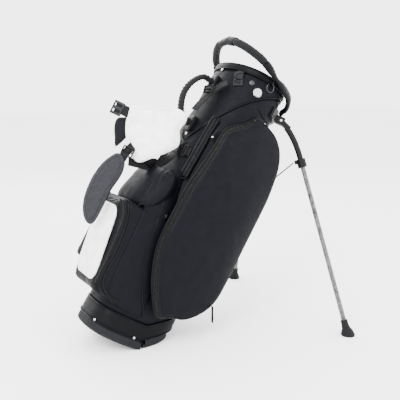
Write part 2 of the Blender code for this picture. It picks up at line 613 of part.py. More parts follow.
def foot_piece(label, foot, along, joint):
    """Rubber bell that caps the tube, cut flat where it meets the ground."""
    socket = LEG_RADIUS + GAP
    outer = [(0.0, 0.0), (FOOT_NECK, 0.0), (FOOT_NECK, 0.014), (0.0125, 0.024), (0.0175, 0.034),
             (FOOT_RADIUS, FOOT_HEIGHT), (0.018, FOOT_HEIGHT + 0.014), (0.0, FOOT_HEIGHT + 0.016)]
    outer = outer[1:]
    profile = [(socket, 0.028), (socket, 0.0)] + outer
    bm = bmesh.new()
    verts = [bm.verts.new((0, 0, 0.028))] + [bm.verts.new((x, 0, z)) for x, z in profile]
    edges = [bm.edges.new(pair) for pair in zip(verts, verts[1:])]
    bmesh.ops.spin(bm, geom=verts + edges, cent=(0, 0, 0), axis=(0, 0, 1), angle=math.tau, steps=20,
                   use_merge=True)
    bmesh.ops.remove_doubles(bm, verts=bm.verts, dist=0.00001)
    top = foot - along * FOOT_HEIGHT
    bell = add("foot_" + label, bm, RUBBER, joint, at=top, rotation=turn_to(along))
    block = box_mesh((0.2, 0.2, 0.1), (0, 0, -0.05))
    cut(bell, add("ground_cut", block, SHADOW, joint, at=foot, rotation=GROUND_TURN))


def clamp_piece(side, label, clamp, along, joint):
    """Ring on the sleeve with the ear that the strut's end hooks into."""
    ring = cylinder_mesh(CLAMP_RADIUS, CLAMP_LENGTH, 20)
    base_at = clamp - along * 0.006
    piece = add("strut_clamp_" + label, ring, PLASTIC, joint, at=base_at, rotation=turn_to(along))
    toward = (strut_end(side) - clamp).normalized()
    ear = box_mesh((0.012, 0.007, 0.012), (0.0145, 0, 0), 0.001)
    turn = Matrix((toward, along.cross(toward), along)).transposed().to_quaternion()
    join(piece, add("clamp_ear", ear, PLASTIC, joint, at=clamp, rotation=turn))
    bore = cylinder_mesh(CLAMP_BORE, 0.06, 20)
    cut(piece, add("clamp_bore", bore, SHADOW, joint, at=clamp - along * 0.03, rotation=turn_to(along)))


def strut_wedge(along, axis):
    """Room that a strut needs in the slider while it turns through its whole range."""
    bm = bmesh.new()
    for turned in (-1.0, 18.0):
        bore = cylinder_mesh(STRUT_RADIUS + GAP, 0.045, 10)
        turn = Quaternion(axis, math.radians(turned)) @ turn_to(along)
        for vert in bore.verts:
            bm.verts.new(turn @ vert.co)
    hull = bmesh.ops.convex_hull(bm, input=bm.verts[:])
    bmesh.ops.delete(bm, geom=hull["geom_interior"], context="VERTS")
    bmesh.ops.recalc_face_normals(bm, faces=bm.faces[:])
    return bm


def actuator():
    """Slider, struts and push rod that open the legs when the toe folds up."""
    slider = box_mesh((0.018, 0.036, 0.030), SLIDER_AT * Vector((1, 0, 1)) - SLIDER.location, 0.002)
    piece = add("actuator_slider", slider, PLASTIC, SLIDER, at=SLIDER.location)
    for side, label, joint in ((1, "near", STRUT_NEAR), (-1, "far", STRUT_FAR)):
        start = SLIDER_AT * Vector((1, -side, 1))
        along = (strut_end(side) - start).normalized()
        axis = Vector((-side * 0.5773, -0.8029, -side * 0.1484))
        cut(piece, add("strut_hole", strut_wedge(along, axis), SHADOW, SLIDER, at=start))
        rod("strut_" + label, start + along * 0.004, strut_end(side), STRUT_RADIUS, STEEL, joint, 10)
    slot = box_mesh((0.0095, 0.030, 0.014), Vector((SLIDER_AT.x, 0, SLIDER_AT.z + 0.011)) - SLIDER.location)
    cut(piece, add("strut_slot", slot, SHADOW, SLIDER, at=SLIDER.location))
    top = SLIDER_AT.z - 0.015 - GAP
    rod("push_rod", (0.118, 0, ROD_FOOT), (0.118, 0, top), ROD_RADIUS, STEEL, SLIDER, 10)
    guide = add("rod_guide", box_mesh((0.022, 0.026, 0.016), (0.115, 0, GUIDE_HEIGHT), 0.002), PLASTIC, BAG)
    hole = cylinder_mesh(ROD_RADIUS + 0.0006, 0.05, 12)
    cut(guide, add("guide_bore", hole, SHADOW, BAG, at=(0.118, 0, GUIDE_HEIGHT - 0.025)))
    cut(guide, envelope(0.0012))


# ---- pockets ----------------------------------------------------------------------------
def ball_pocket():
    """Deep box pocket on the spine, shaped to the tube, with its separate front panel."""
    size = (BALL_BACK - BALL_FRONT, 2 * BALL_HALF, BALL_HIGH - BALL_LOW)
    centre = ((BALL_BACK + BALL_FRONT) / 2, 0, (BALL_HIGH + BALL_LOW) / 2)
    bm = box_mesh(size, centre)
    for vert in bm.verts:
        if vert.co.x < -0.2:
            vert.co.y *= BALL_FRONT_HALF / BALL_HALF
            vert.co.x += BALL_SLOPE if vert.co.z < 0.2 else 0.0
            vert.co.z -= 0.006 if vert.co.z > 0.3 else -0.006
    bmesh.ops.bevel(bm, geom=bm.edges[:], offset=0.015, segments=3, affect="EDGES", profile=0.6)
    pocket = add("ball_pocket", bm, LEATHER, BAG)
    cut(pocket, envelope(0.0018))
    high = BALL_HIGH - BALL_LOW - 0.012
    lean = math.atan2(BALL_SLOPE, high)
    middle = Vector((BALL_FRONT + BALL_SLOPE / 2, 0, (BALL_HIGH + BALL_LOW) / 2))
    middle -= Vector((math.cos(lean), 0, math.sin(lean))) * (PANEL_THICKNESS + 2 * GAP)
    turn = Quaternion((0, 1, 0), math.radians(-90) - lean) @ Quaternion((0, 0, 1), math.radians(90))
    outline_piece("ball_pocket_front", rounded_outline(0.132, 0.206, 0.026), PANEL_THICKNESS, WHITE, BAG,
                  at=middle, rotation=turn)


def apparel_ring(share, flare=0.0):
    """The big pocket's outline, shrunk about its centre, with its spine side moved outwards."""
    cx, cz = APPAREL_CENTRE
    outline = smooth_path([Vector((x, 0, z)) for x, z in APPAREL_EDGE + APPAREL_EDGE[:1]], 2)[:-1]
    ring = []
    for point in outline:
        away = Vector((point.x - cx, 0, point.z - cz))
        spread = flare * min(1.0, max(0.0, (0.09 - point.x) / 0.10))
        ring.append(Vector((cx, 0, cz)) + away * share + away.normalized() * spread)
    return ring


def apparel_pocket(name, side):
    """A large D-shaped pocket: a crowned front, a zip wall and a gusset that narrows to the tube."""
    layers = [(apparel_ring(s), APPAREL_FRONT + APPAREL_CROWN * (1 - s * s)) for s in (0.4, 0.75, 0.93, 1.0)]
    layers.append((apparel_ring(1.0, APPAREL_FLARE), APPAREL_ZIP))
    root = [Vector((p.x * (0.60 if p.x < 0 else 0.46), 0, 0.42 + (p.z - 0.42) * 0.82))
            for p in apparel_ring(1.0)]
    layers.append((root, APPAREL_ROOT))
    bm = bmesh.new()
    rings = [[bm.verts.new((p.x, -side * depth, p.z)) for p in ring] for ring, depth in layers]
    for a, b in zip(rings, rings[1:]):
        for i in range(len(a)):
            j = (i + 1) % len(a)
            bm.faces.new((a[i], a[j], b[j], b[i]))
    bm.faces.new(rings[0])
    bm.faces.new(rings[-1])
    return cut(add(name, bm, LEATHER, BAG), envelope(0.0012))


def pockets():
    apparel_pocket("apparel_pocket_near", 1)
    apparel_pocket("apparel_pocket_far", -1)
    pillow("valuables_pocket", finish=LEATHER, edge=0.45, **VALUABLES)
    pillow("upper_pocket", finish=LEATHER, edge=0.70, **UPPER)
    ball_pocket()
    bottle = box_mesh((0.083, 0.026, 0.150), (-0.1665, BALL_HALF + 0.0134, 0.235), 0.008)
    for vert in bottle.verts:
        vert.co.y -= (0.23 if vert.co.y < BALL_HALF + 0.0134 else 0.12) * (-0.120 - vert.co.x)
    add("mesh_pocket", bottle, MESH, BAG)


# ---- shoulder strap ---------------------------------------------------------------------
def frame_turn(across, up):
    """Rotation whose X runs across, Y up and Z out of the face they span."""
    across = Vector(across).normalized()
    facing = across.cross(Vector(up)).normalized()
    return Matrix((across, facing.cross(across), facing)).transposed().to_quaternion()


def skin_turn(angle, height, up):
    """The same on the tube's surface: Z faces outwards and Y runs as near to up as it can."""
    facing = (skin(angle, height, 0.1) - skin(angle, height)).normalized()
    across = Vector(up).cross(facing)
    return frame_turn(across, facing.cross(across))


def pad_piece(name, outline, centre, thickness, finish, bevel):
    points = smooth_path([Vector((x, y, 0)) for x, y in outline + outline[:1]], 2)[:-1]
    return outline_piece(name, [(p.x, p.y) for p in points], thickness, finish, BAG, at=centre,
                         rotation=frame_turn(PAD_ACROSS, (0, 0, 1)), bevel=bevel)


def ribbon(name, path, across, finish, width, thickness=WEB_THICKNESS):
    """Flat webbing along a path; across gives the direction of its width."""
    bm = bmesh.new()
    rings = []
    for i, point in enumerate(path):
        along = (path[min(i + 1, len(path) - 1)] - path[max(i - 1, 0)]).normalized()
        side = (across - along * across.dot(along)).normalized() * width / 2
        face = along.cross(side).normalized() * thickness / 2
        rings.append([bm.verts.new(point + a * side + b * face)
                      for a, b in ((1, 1), (-1, 1), (-1, -1), (1, -1))])
    for low, high in zip(rings, rings[1:]):
        for i in range(4):
            bm.faces.new((low[i], low[(i + 1) % 4], high[(i + 1) % 4], high[i]))
    bm.faces.new(rings[0])
    bm.faces.new(rings[-1])
    return add(name, bm, finish, BAG)


def buckle(name, centre, turn, size):
    """A flat frame with two slots for the webbing."""
    frame = add(name, box_mesh(size, bevel=0.001), PLASTIC, BAG, at=centre, rotation=turn)
    for side in (-1, 1):
        slot = box_mesh((size[0] * 0.75, size[1] * 0.22, 0.02), (0, side * size[1] * 0.22, 0))
        cut(frame, add("buckle_slot", slot, SHADOW, BAG, at=centre, rotation=turn))
    return frame


def strap():
    pad_piece("strap_yoke_pad", YOKE_OUTLINE, YOKE_CENTRE, YOKE_THICKNESS, WHITE, 0.004)
    pad_piece("strap_yoke_lining", LINING_OUTLINE, LINING_CENTRE, LINING_THICKNESS, FABRIC, 0.002)
    pad_piece("shoulder_pad", PAD_OUTLINE, PAD_CENTRE, PAD_THICKNESS, GREY, 0.005)
    ribbon("strap_webbing_upper", smooth_path(UPPER_WEB, 3), Vector((-0.3, 0.9, 0)), TRIM, WEB_WIDTH)
    ribbon("strap_webbing_lower", smooth_path(LOWER_WEB, 3), Vector((0, 1, 0)), TRIM, LOWER_WEB_WIDTH)
    buckle("slide_buckle", SLIDE_BUCKLE, skin_turn(165, 0.760, (-0.35, 0.2, 1)), (0.034, 0.024, 0.005))
    buckle("ladder_lock", LADDER_LOCK, frame_turn((0, 1, 0), (0, 0, 1)), (0.030, 0.026, 0.006))
    buckle("yoke_buckle", YOKE_BUCKLE, frame_turn(PAD_ACROSS, (0, 0, 1)), (0.032, 0.040, 0.007))
    place = skin(144, 0.830, PANEL_LIFT)
    turn = skin_turn(144, 0.830, (-0.35, 0.2, 1))
    swivel = add("collar_buckle", cylinder_mesh(0.016, 0.0075, 24, 0.013), PLASTIC, BAG, at=place,
                 rotation=turn)
    plate = box_mesh((0.030, 0.044, 0.0040), (0.0, -0.010, 0.0020), 0.001)
    join(swivel, add("buckle_plate", plate, PLASTIC, BAG, at=place, rotation=turn))
    cut(swivel, envelope(PANEL_LIFT))


# ---- trim ---------------------------------------------------------------------------------
def ring_mesh(radius, wire, turns=28, sides=8):
    """A round ring hanging below the origin, in the X-Y plane, its wire's axis at the origin."""
    bm = bmesh.new()
    hoops = []
    for i in range(turns):
        angle = math.tau * i / turns
        hoop = []
        for j in range(sides):
            lift = math.tau * (j + 0.5) / sides
            reach = radius + wire * math.cos(lift)
            hoop.append(bm.verts.new((reach * math.sin(angle), reach * math.cos(angle) - radius,
                                      wire * math.sin(lift))))
        hoops.append(hoop)
    for i in range(turns):
        a, b = hoops[i], hoops[(i + 1) % turns]
        for j in range(sides):
            k = (j + 1) % sides
            bm.faces.new((a[j], b[j], b[k], a[k]))
    return bm


def pull_tab(name, joint, across, up, length, thickness=0.0024, width=0.009):
    """A flat tab hanging from the empty on its pivot."""
    bm = box_mesh((width, length, thickness), (0, 0.003 - length / 2, 0), 0.0008)
    return add(name, bm, TRIM, joint, at=joint.location, rotation=frame_turn(across, up))


def trim():
    facing = skin(106, 0.806, 0.1) - skin(106, 0.806)
    add("medallion", cylinder_mesh(0.0135, 0.0026, 28, 0.0115), STEEL, BAG,
        at=skin(106, 0.806, PANEL_LIFT), rotation=turn_to(facing))
    upright = frame_turn(ground(1, 0, 0), ground(0, 0, 1))
    add("towel_ring", ring_mesh(RING_RADIUS, RING_WIRE), STEEL, RING, at=RING.location, rotation=upright)
    loop = box_mesh((RING_LOOP, 0.0072, 0.018), (0, 0, 0.009 - 0.0036), 0.0008)
    anchor = add("towel_ring_loop", loop, PLASTIC, BAG, at=RING.location,
                 rotation=frame_turn(ground(1, 0, 0), (0, 0, 1)))
    bore = cylinder_mesh(RING_WIRE + 0.0009, 0.02, 12)
    start = RING.location - ground(0.010, 0, 0)
    cut(anchor, add("loop_bore", bore, SHADOW, BAG, at=start, rotation=turn_to(ground(1, 0, 0))))
    cut(anchor, envelope(PANEL_LIFT))
    pull_tab("apparel_zip_pull", APPAREL_PULL, (0, 1, 0), ground(0, 0, 1), 0.050)
    pull_tab("ball_zip_pull", BALL_PULL, (0, 1, 0), (0.82, 0, 0.57), 0.026)
    slider = box_mesh((0.007, 0.036, 0.0036), bevel=0.0008)
    add("valuables_zip_slider", slider, STEEL, ZIP, at=ZIP.location,
        rotation=skin_turn(136, 0.60, ZIP_START - ZIP_END))


# ---- the bag's frame, its bodies and its finishes -----------------------------------------
clear_scene()
PARTS = collection("golf_stand_bag")
CUTTERS = collection("cutters")

LEATHER = material("leather", (0.030, 0.030, 0.036), 0.50)
TRIM = material("trim", (0.012, 0.012, 0.014), 0.45)
FABRIC = material("fabric", (0.030, 0.030, 0.034), 0.90)
WHITE = material("white_leather", (0.82, 0.82, 0.80), 0.45)
GREY = material("grey_pad", (0.13, 0.13, 0.145), 0.60)
PLASTIC = material("moulded_plastic", (0.016, 0.016, 0.018), 0.42)
GLOSS = material("gloss_plastic", (0.012, 0.012, 0.014), 0.15)
RIBBED = material("ribbed_rubber", (0.012, 0.012, 0.013), 0.60)
RUBBER = material("boot_rubber", (0.018, 0.018, 0.020), 0.55)
STEEL = material("steel", (0.55, 0.55, 0.57), 0.28, 1.0)
CARBON = material("patterned_tube", (0.20, 0.20, 0.22), 0.30, 0.4)
MESH = material("mesh", (0.05, 0.05, 0.055), 0.80)
SHADOW = material("cutter", (0.5, 0.5, 0.5))

BAG = empty("bag_axis", at=(-FACET_LENGTH / 2, 0, 0), rotation=Quaternion((0, 1, 0), LEAN))
TOE = empty("toe_axis", at=ground(HINGE_X, 0, HINGE_Z), parent=BAG)
LEG_NEAR = empty("leg_near_axis", at=LEG_PIVOT, parent=BAG)
LEG_FAR = empty("leg_far_axis", at=LEG_PIVOT * Vector((1, -1, 1)), parent=BAG)
SLIDER = empty("slider_axis", at=SLIDER_AT * Vector((1, 0, 1)), parent=BAG)
STRUT_NEAR = empty("strut_near_axis", at=SLIDER_AT * Vector((1, -1, 1)), parent=BAG)
STRUT_FAR = empty("strut_far_axis", at=SLIDER_AT, parent=BAG)
RING = empty("towel_ring_axis", at=RING_AT, parent=BAG)
APPAREL_PULL = empty("apparel_zip_pull_axis", at=APPAREL_PULL_AT, parent=BAG)
BALL_PULL = empty("ball_zip_pull_axis", at=BALL_PULL_AT, parent=BAG)
ZIP = empty("valuables_zip_axis", at=ZIP_START, parent=BAG)

base()
body()
handles()
leg_bracket()
leg(1, "near", LEG_NEAR)
leg(-1, "far", LEG_FAR)
actuator()
pockets()
strap()
trim()
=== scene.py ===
"""Looks of a golf stand bag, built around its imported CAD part. Units are metres, +Z is up."""

import math

import bmesh
import bpy
from mathutils import Matrix, Vector, noise
from mathutils.bvhtree import BVHTree


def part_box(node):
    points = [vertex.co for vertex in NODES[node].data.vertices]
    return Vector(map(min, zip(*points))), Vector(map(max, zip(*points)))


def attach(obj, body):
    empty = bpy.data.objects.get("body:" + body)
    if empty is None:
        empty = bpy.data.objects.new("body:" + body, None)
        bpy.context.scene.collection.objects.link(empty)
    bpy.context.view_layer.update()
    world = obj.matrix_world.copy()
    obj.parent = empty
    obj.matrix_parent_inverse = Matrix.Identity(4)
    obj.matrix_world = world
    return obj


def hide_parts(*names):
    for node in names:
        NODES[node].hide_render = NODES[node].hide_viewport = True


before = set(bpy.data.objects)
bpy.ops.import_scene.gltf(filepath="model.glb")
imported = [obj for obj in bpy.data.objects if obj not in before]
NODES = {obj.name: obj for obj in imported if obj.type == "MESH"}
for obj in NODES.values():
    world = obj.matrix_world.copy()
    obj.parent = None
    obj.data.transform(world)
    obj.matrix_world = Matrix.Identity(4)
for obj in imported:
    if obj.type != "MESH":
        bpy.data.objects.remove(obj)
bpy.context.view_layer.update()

# ---- the bag's own frame: u towards the legs, -v the near side, w along the tube ---------
LEAN = math.radians(30.5)
BAG = Matrix.Translation((-0.006, 0, 0)) @ Matrix.Rotation(LEAN, 4, "Y")
UNBAG = BAG.inverted()
BASE_HEIGHT, RIM_HEIGHT, BOOT_HEIGHT = 0.034, 0.848, 0.024
CUFF_HEIGHT = 0.048
TURNS = 168
STITCH_PITCH, STITCH_LENGTH, TOOTH_HEIGHT = .0046, .0031, .0011
MOST_SWELL = .0035
POCKET_SAG_OUT, POCKET_SAG_DOWN = .034, .020
MESH_BASE, MESH_STRETCH = .160, 1.22
LEAF_DROP, LEAF_SHRINK = .018, .62
ARM_INWARDS = .0055
NEAR, FAR = 1, -1
SIDES = ((NEAR, "near"), (FAR, "far"))
D_EDGE = [(.006, .734), (-.024, .697), (-.055, .671), (-.074, .645), (-.077, .593), (-.085, .534),
          (-.095, .460), (-.097, .400), (-.100, .332), (-.095, .285), (-.079, .235), (-.054, .185),
          (-.008, .124), (.030, .130), (.063, .136), (.096, .158), (.124, .192), (.138, .230),
          (.142, .285), (.143, .341), (.144, .400), (.145, .458), (.146, .538), (.142, .590),
          (.132, .646), (.110, .690), (.078, .717), (.043, .729)]
D_CENTRE = (.050, .425)
D_FRONT, D_CROWN, D_LIP, D_ZIP, D_FLARE, D_ROOT = .150, .020, .1475, .125, .012, .040
HANDLE_PATH = [(.108, -.080, .814), (.102, -.100, .830), (.070, -.1235, .850), (0, -.1415, .862),
               (-.058, -.131, .887), (-.100, -.093, .906), (-.124, -.050, .918), (-.131, 0, .925)]
UPPER_WEB = [(-.1075, -.070, .796), (-.1155, -.058, .782), (-.122, -.048, .762), (-.131, -.043, .738),
             (-.146, -.048, .706), (-.155, -.052, .680)]
LOWER_WEB = [(-.1212, -.012, .596), (-.1222, -.012, .575), (-.1245, -.012, .552), (-.147, -.012, .514),
             (-.176, -.012, .482), (-.211, -.012, .471), (-.246, -.012, .462)]


# ---- shapes ------------------------------------------------------------------------------
def mix(low, high, height):
    share = (height - BASE_HEIGHT) / (RIM_HEIGHT - BASE_HEIGHT)
    return low + (high - low) * share


def skin(angle, height, offset=0.0):
    """Point on the tube: angle in degrees from the leg side, through the near side."""
    power = 2.0 / mix(3.0, 2.1, height)
    c, s = math.cos(math.radians(angle)), math.sin(math.radians(angle))
    x = math.copysign(abs(c) ** power, c) * (mix(.127, .103, height) + offset)
    y = math.copysign(abs(s) ** power, s) * (mix(.100, .126, height) + offset)
    return Vector((x + mix(-.019, 0.0, height), -y, height))


def skin_normal(angle, height):
    across = skin(angle + 1, height) - skin(angle - 1, height)
    up = skin(angle, height + .01) - skin(angle, height - .01)
    return up.cross(across).normalized()


def boot_line(x):
    return max(BOOT_HEIGHT, x * math.tan(LEAN) + BOOT_HEIGHT / math.cos(LEAN))


def cuff_low(angle):
    return boot_line(skin(angle, BASE_HEIGHT).x) + .0008


def cuff_high(angle):
    return cuff_low(angle) + CUFF_HEIGHT


def seam(angle):
    from_spine = min(abs(180 - angle % 360), 130) / 130
    return .597 + .238 * math.sin(math.radians(90) * from_spine) ** 1.1


def smooth(points, steps, closed=False):
    """Catmull-Rom curve through the points."""
    pts = [Vector(p) for p in points]
    n = len(pts)
    if not closed:
        pts = [pts[0] * 2 - pts[1]] + pts + [pts[-1] * 2 - pts[-2]]
    else:
        pts = [pts[-1]] + pts + pts[:2]
    out = []
    for a, b, c, d in zip(pts, pts[1:], pts[2:], pts[3:]):
        for k in range(steps):
            t = k / steps
            out.append(0.5 * ((2 * b) + (c - a) * t + (2 * a - 5 * b + 4 * c - d) * t * t
                              + (3 * b - a - 3 * c + d) * t ** 3))
    if not closed:
        out.append(pts[-2].copy())
    return out[:n * steps] if closed else out


def even(path, step, closed=False):
    """The path again, with a point at every step along it."""
    pts = list(path) + ([path[0]] if closed else [])
    spans = [(b - a).length for a, b in zip(pts, pts[1:])]
    total = sum(spans)
    count = max(2, round(total / step))
    marks = [total * k / count for k in range(count + (0 if closed else 1))]
    out, i, done = [], 0, 0.0
    for mark in marks:
        while i < len(spans) - 1 and done + spans[i] < mark:
            done += spans[i]
            i += 1
        t = 0 if spans[i] == 0 else (mark - done) / spans[i]
        out.append(pts[i].lerp(pts[i + 1], max(0.0, min(1.0, t))))
    return out


def tangents(path, closed=False):
    n = len(path)
    out = []
    for i in range(n):
        a = path[(i - 1) % n] if closed or i > 0 else path[i]
        b = path[(i + 1) % n] if closed or i < n - 1 else path[i]
        out.append((b - a).normalized())
    return out


def frames(path, normals=None, closed=False):
    """(point, normal, side) along a path; without normals the frame is carried along it."""
    tang = tangents(path, closed)
    if normals is None:
        n = tang[0].orthogonal().normalized()
        normals = []
        for t in tang:
            n = (n - t * n.dot(t)).normalized()
            normals.append(n)
    out = []
    for p, t, n in zip(path, tang, normals):
        n = (Vector(n) - t * Vector(n).dot(t)).normalized()
        out.append((p, n, t.cross(n)))
    return out


def loft(bm, rings, joined=False):
    """Faces between rings of vertices, with end caps, or with the last ring joined to the first."""
    for a, b in zip(rings, rings[1:] + (rings[:1] if joined else [])):
        for i in range(len(a)):
            j = (i + 1) % len(a)
            bm.faces.new((a[i], a[j], b[j], b[i]))
    if not joined:
        bm.faces.new(rings[0])
        bm.faces.new(rings[-1])


def sweep(bm, path, section, normals=None, closed=False, scale=None):
    """Carries a section, a list of (side, normal) offsets, along the path."""
    rings = []
    for k, (p, n, s) in enumerate(frames(path, normals, closed)):
        f = 1.0 if scale is None else scale(k / max(1, len(path) - 1))
        rings.append([bm.verts.new(p + s * x * f + n * y * f) for x, y in section])
    loft(bm, rings, closed)


def round_section(radius, sides=8, flat=1.0):
    return [(radius * math.cos(math.tau * i / sides), radius * flat * math.sin(math.tau * i / sides))
            for i in range(sides)]


def strap_section(width, thick):
    """Rectangle with rounded edges, lying on its path."""
    w, e = width / 2, thick / 3
    return [(-w, 0), (w, 0), (w, thick - e), (w - e, thick), (w * .5, thick), (0, thick),
            (-w * .5, thick), (-w + e, thick), (-w, thick - e)]


def piece(name, bm, finish, body="root", nodes=()):
    """Turns a mesh built in the bag's frame into a shown piece."""
    bmesh.ops.recalc_face_normals(bm, faces=bm.faces[:])
    bm.transform(BAG)
    mesh = bpy.data.meshes.new(name)
    bm.to_mesh(mesh)
    bm.free()
    for polygon in mesh.polygons:
        polygon.use_smooth = True
    mesh.materials.append(finish)
    obj = bpy.data.objects.new(name, mesh)
    bpy.context.scene.collection.objects.link(obj)
    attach(obj, body)
    if nodes:
        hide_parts(*nodes)
    return obj


def swept(name, path, section, normals, finish, nodes=(), scale=None):
    """A piece that is one section carried along an open path."""
    bm = bmesh.new()
    sweep(bm, path, section, normals, scale=scale)
    return piece(name, bm, finish, nodes=nodes)


def tree_of(*objects):
    """Search tree of the shown surfaces, in the bag's frame."""
    bm = bmesh.new()
    deps = bpy.context.evaluated_depsgraph_get()
    for obj in objects:
        mesh = obj.evaluated_get(deps).to_mesh()
        bm.from_mesh(mesh)
        obj.evaluated_get(deps).to_mesh_clear()
    bm.transform(UNBAG)
    tree = BVHTree.FromBMesh(bm)
    bm.free()
    return tree


def drape(tree, path, lift=0.0):
    """Moves a path onto the nearest surface; returns (points, normals)."""
    points, normals = [], []
    for p in path:
        spot, normal, _, _ = tree.find_nearest(p)
        if normal.dot(p - spot) < 0 and (p - spot).length > .004:
            normal = -normal
        points.append(spot + normal * lift)
        normals.append(normal)
    for _ in range(2):
        for i in range(1, len(normals) - 1):
            normals[i] = (normals[i - 1] + normals[i] * 2 + normals[i + 1]).normalized()
    return points, normals


def piping(name, path, finish, radius=.0021, normals=None, closed=False):
    bm = bmesh.new()
    sweep(bm, path, round_section(radius), normals, closed)
    return piece(name, bm, finish)


def stitch_row(bm, path, normals, closed=False, radius=.00048):
    """A row of thread stitches lying on the surface."""
    spots = even(path, STITCH_PITCH, closed)
    look = [min(range(len(path)), key=lambda i: (path[i] - s).length_squared) for s in spots] \
        if len(path) < 60 else None
    for k, (spot, tangent) in enumerate(zip(spots, tangents(spots, closed))):
        i = look[k] if look else min(len(path) - 1, round(k * len(path) / len(spots)))
        n = Vector(normals[i])
        n = (n - tangent * n.dot(tangent)).normalized()
        side = tangent.cross(n)
        rings = []
        for along, size in ((-.5, .35), (-.3, .9), (0, 1.1), (.3, .9), (.5, .35)):
            centre = spot + tangent * along * STITCH_LENGTH
            rings.append([bm.verts.new(centre + (side * math.cos(a) + n * math.sin(a)) * radius * size)
                          for a in (0, math.pi / 3, math.tau / 3, math.pi, math.pi * 4 / 3, math.pi * 5 / 3)])
        loft(bm, rings)


def teeth(bm, path, normals, closed=False, pitch=.0016, reach=.0021):
    """Two interlocking rows of zip teeth."""
    spots = even(path, pitch, closed)
    for k, (spot, tangent) in enumerate(zip(spots, tangents(spots, closed))):
        i = min(len(path) - 1, round(k * len(path) / len(spots)))
        n = Vector(normals[i])
        n = (n - tangent * n.dot(tangent)).normalized()
        side = tangent.cross(n) * (1 if k % 2 else -1)
        corners = []
        for z in (0, TOOTH_HEIGHT):
            for x, y in ((-.0004, -.48), (reach, -.42), (reach, .42), (-.0004, .48)):
                corners.append(bm.verts.new(spot + side * x + tangent * y * pitch * 1.5 + n * z))
        for face in ((0, 1, 2, 3), (7, 6, 5, 4), (0, 4, 5, 1), (1, 5, 6, 2), (2, 6, 7, 3), (3, 7, 4, 0)):
            bm.faces.new([corners[c] for c in face])


def disc_bm(radius, height, centre, normal, rings=((1, 0), (1, .55), (.88, .9), (.6, 1.0))):
    """Low dome on a surface: a rivet or a snap."""
    sides = 32
    bm = bmesh.new()
    turn = Vector((0, 0, 1)).rotation_difference(Vector(normal))
    loops = []
    for share, z in rings:
        loops.append([bm.verts.new(Vector(centre) + turn @ Vector(
            (radius * share * math.cos(math.tau * i / sides), radius * share * math.sin(math.tau * i / sides),
             height * z))) for i in range(sides)])
    loft(bm, loops)
    return bm


# ---- finishes ----------------------------------------------------------------------------
def finish(name, colour, roughness, metallic=0.0, specular=.5, coat=0.0, sheen=0.0):
    mat = bpy.data.materials.new(name)
    mat.use_nodes = True
    shader = mat.node_tree.nodes["Principled BSDF"]
    shader.inputs["Base Color"].default_value = (*colour, 1)
    shader.inputs["Roughness"].default_value = roughness
    shader.inputs["Metallic"].default_value = metallic
    shader.inputs["Specular IOR Level"].default_value = specular
    shader.inputs["Coat Weight"].default_value = coat
    shader.inputs["Coat Roughness"].default_value = .12
    shader.inputs["Sheen Weight"].default_value = sheen
    return mat


def node(mat, kind, **values):
    made = mat.node_tree.nodes.new(kind)
    for key, value in values.items():
        if key in made.inputs:
            made.inputs[key].default_value = value
        else:
            setattr(made, key, value)
    return made


def join(mat, source, output, target, socket):
    mat.node_tree.links.new(source.outputs[output], target.inputs[socket])


def placed(mat, scale=(1, 1, 1)):
    """Texture coordinates in the bag's frame, stretched by scale."""
    coords = node(mat, "ShaderNodeTexCoord")
    turn = node(mat, "ShaderNodeMapping", Rotation=(0, -LEAN, 0), Scale=scale)
    join(mat, coords, "Object", turn, "Vector")
    return turn


def noise_node(mat, where, scale, detail=3.0, rough=.55):
    made = node(mat, "ShaderNodeTexNoise", Scale=scale, Detail=detail, Roughness=rough)
    join(mat, where, "Vector", made, "Vector")
    return made


def colour_ramp(mat, source, output, *stops):
    """Colours the surface by a source, between two stops of (position, colour)."""
    ramp = node(mat, "ShaderNodeValToRGB")
    for element, (position, colour) in zip(ramp.color_ramp.elements, stops):
        element.position = position
        element.color = (*colour, 1)
    join(mat, source, output, ramp, "Fac")
    join(mat, ramp, "Color", mat.node_tree.nodes["Principled BSDF"], "Base Color")


def vary(mat, where, colour, low, high, scale=38.0):
    """Mottles the colour between low and high times its value."""
    source = noise_node(mat, where, scale, 4.0)
    colour_ramp(mat, source, "Fac", (.32, [c * low for c in colour]), (.70, [c * high for c in colour]))


def roughen(mat, where, low, high, scale=60.0):
    source = noise_node(mat, where, scale, 5.0, .6)
    span = node(mat, "ShaderNodeMapRange")
    span.inputs["From Min"].default_value = .3
    span.inputs["From Max"].default_value = .7
    span.inputs["To Min"].default_value = low
    span.inputs["To Max"].default_value = high
    join(mat, source, "Fac", span, "Value")
    join(mat, span, "Result", mat.node_tree.nodes["Principled BSDF"], "Roughness")


def bumps(mat, layers):
    """Stacks bump layers: (source node, output, strength, distance)."""
    last = None
    for source, output, strength, distance in layers:
        bump = node(mat, "ShaderNodeBump", Strength=strength, Distance=distance)
        join(mat, source, output, bump, "Height")
        if last:
            join(mat, last, "Normal", bump, "Normal")
        last = bump
    join(mat, last, "Normal", mat.node_tree.nodes["Principled BSDF"], "Normal")


def leather(name, colour, rough=(.40, .56), grain=520.0, strength=.35, spec=.5):
    mat = finish(name, colour, sum(rough) / 2, specular=spec)
    where = placed(mat)
    cells = node(mat, "ShaderNodeTexVoronoi", feature="DISTANCE_TO_EDGE", Scale=grain)
    join(mat, where, "Vector", cells, "Vector")
    crease = noise_node(mat, where, 150.0, 6.0, .65)
    soft = noise_node(mat, where, 22.0, 2.0)
    vary(mat, where, colour, .82, 1.16)
    roughen(mat, where, *rough)
    bumps(mat, [(soft, "Fac", .30, .004), (crease, "Fac", .28, .0012), (cells, "Distance", strength, .0007)])
    return mat


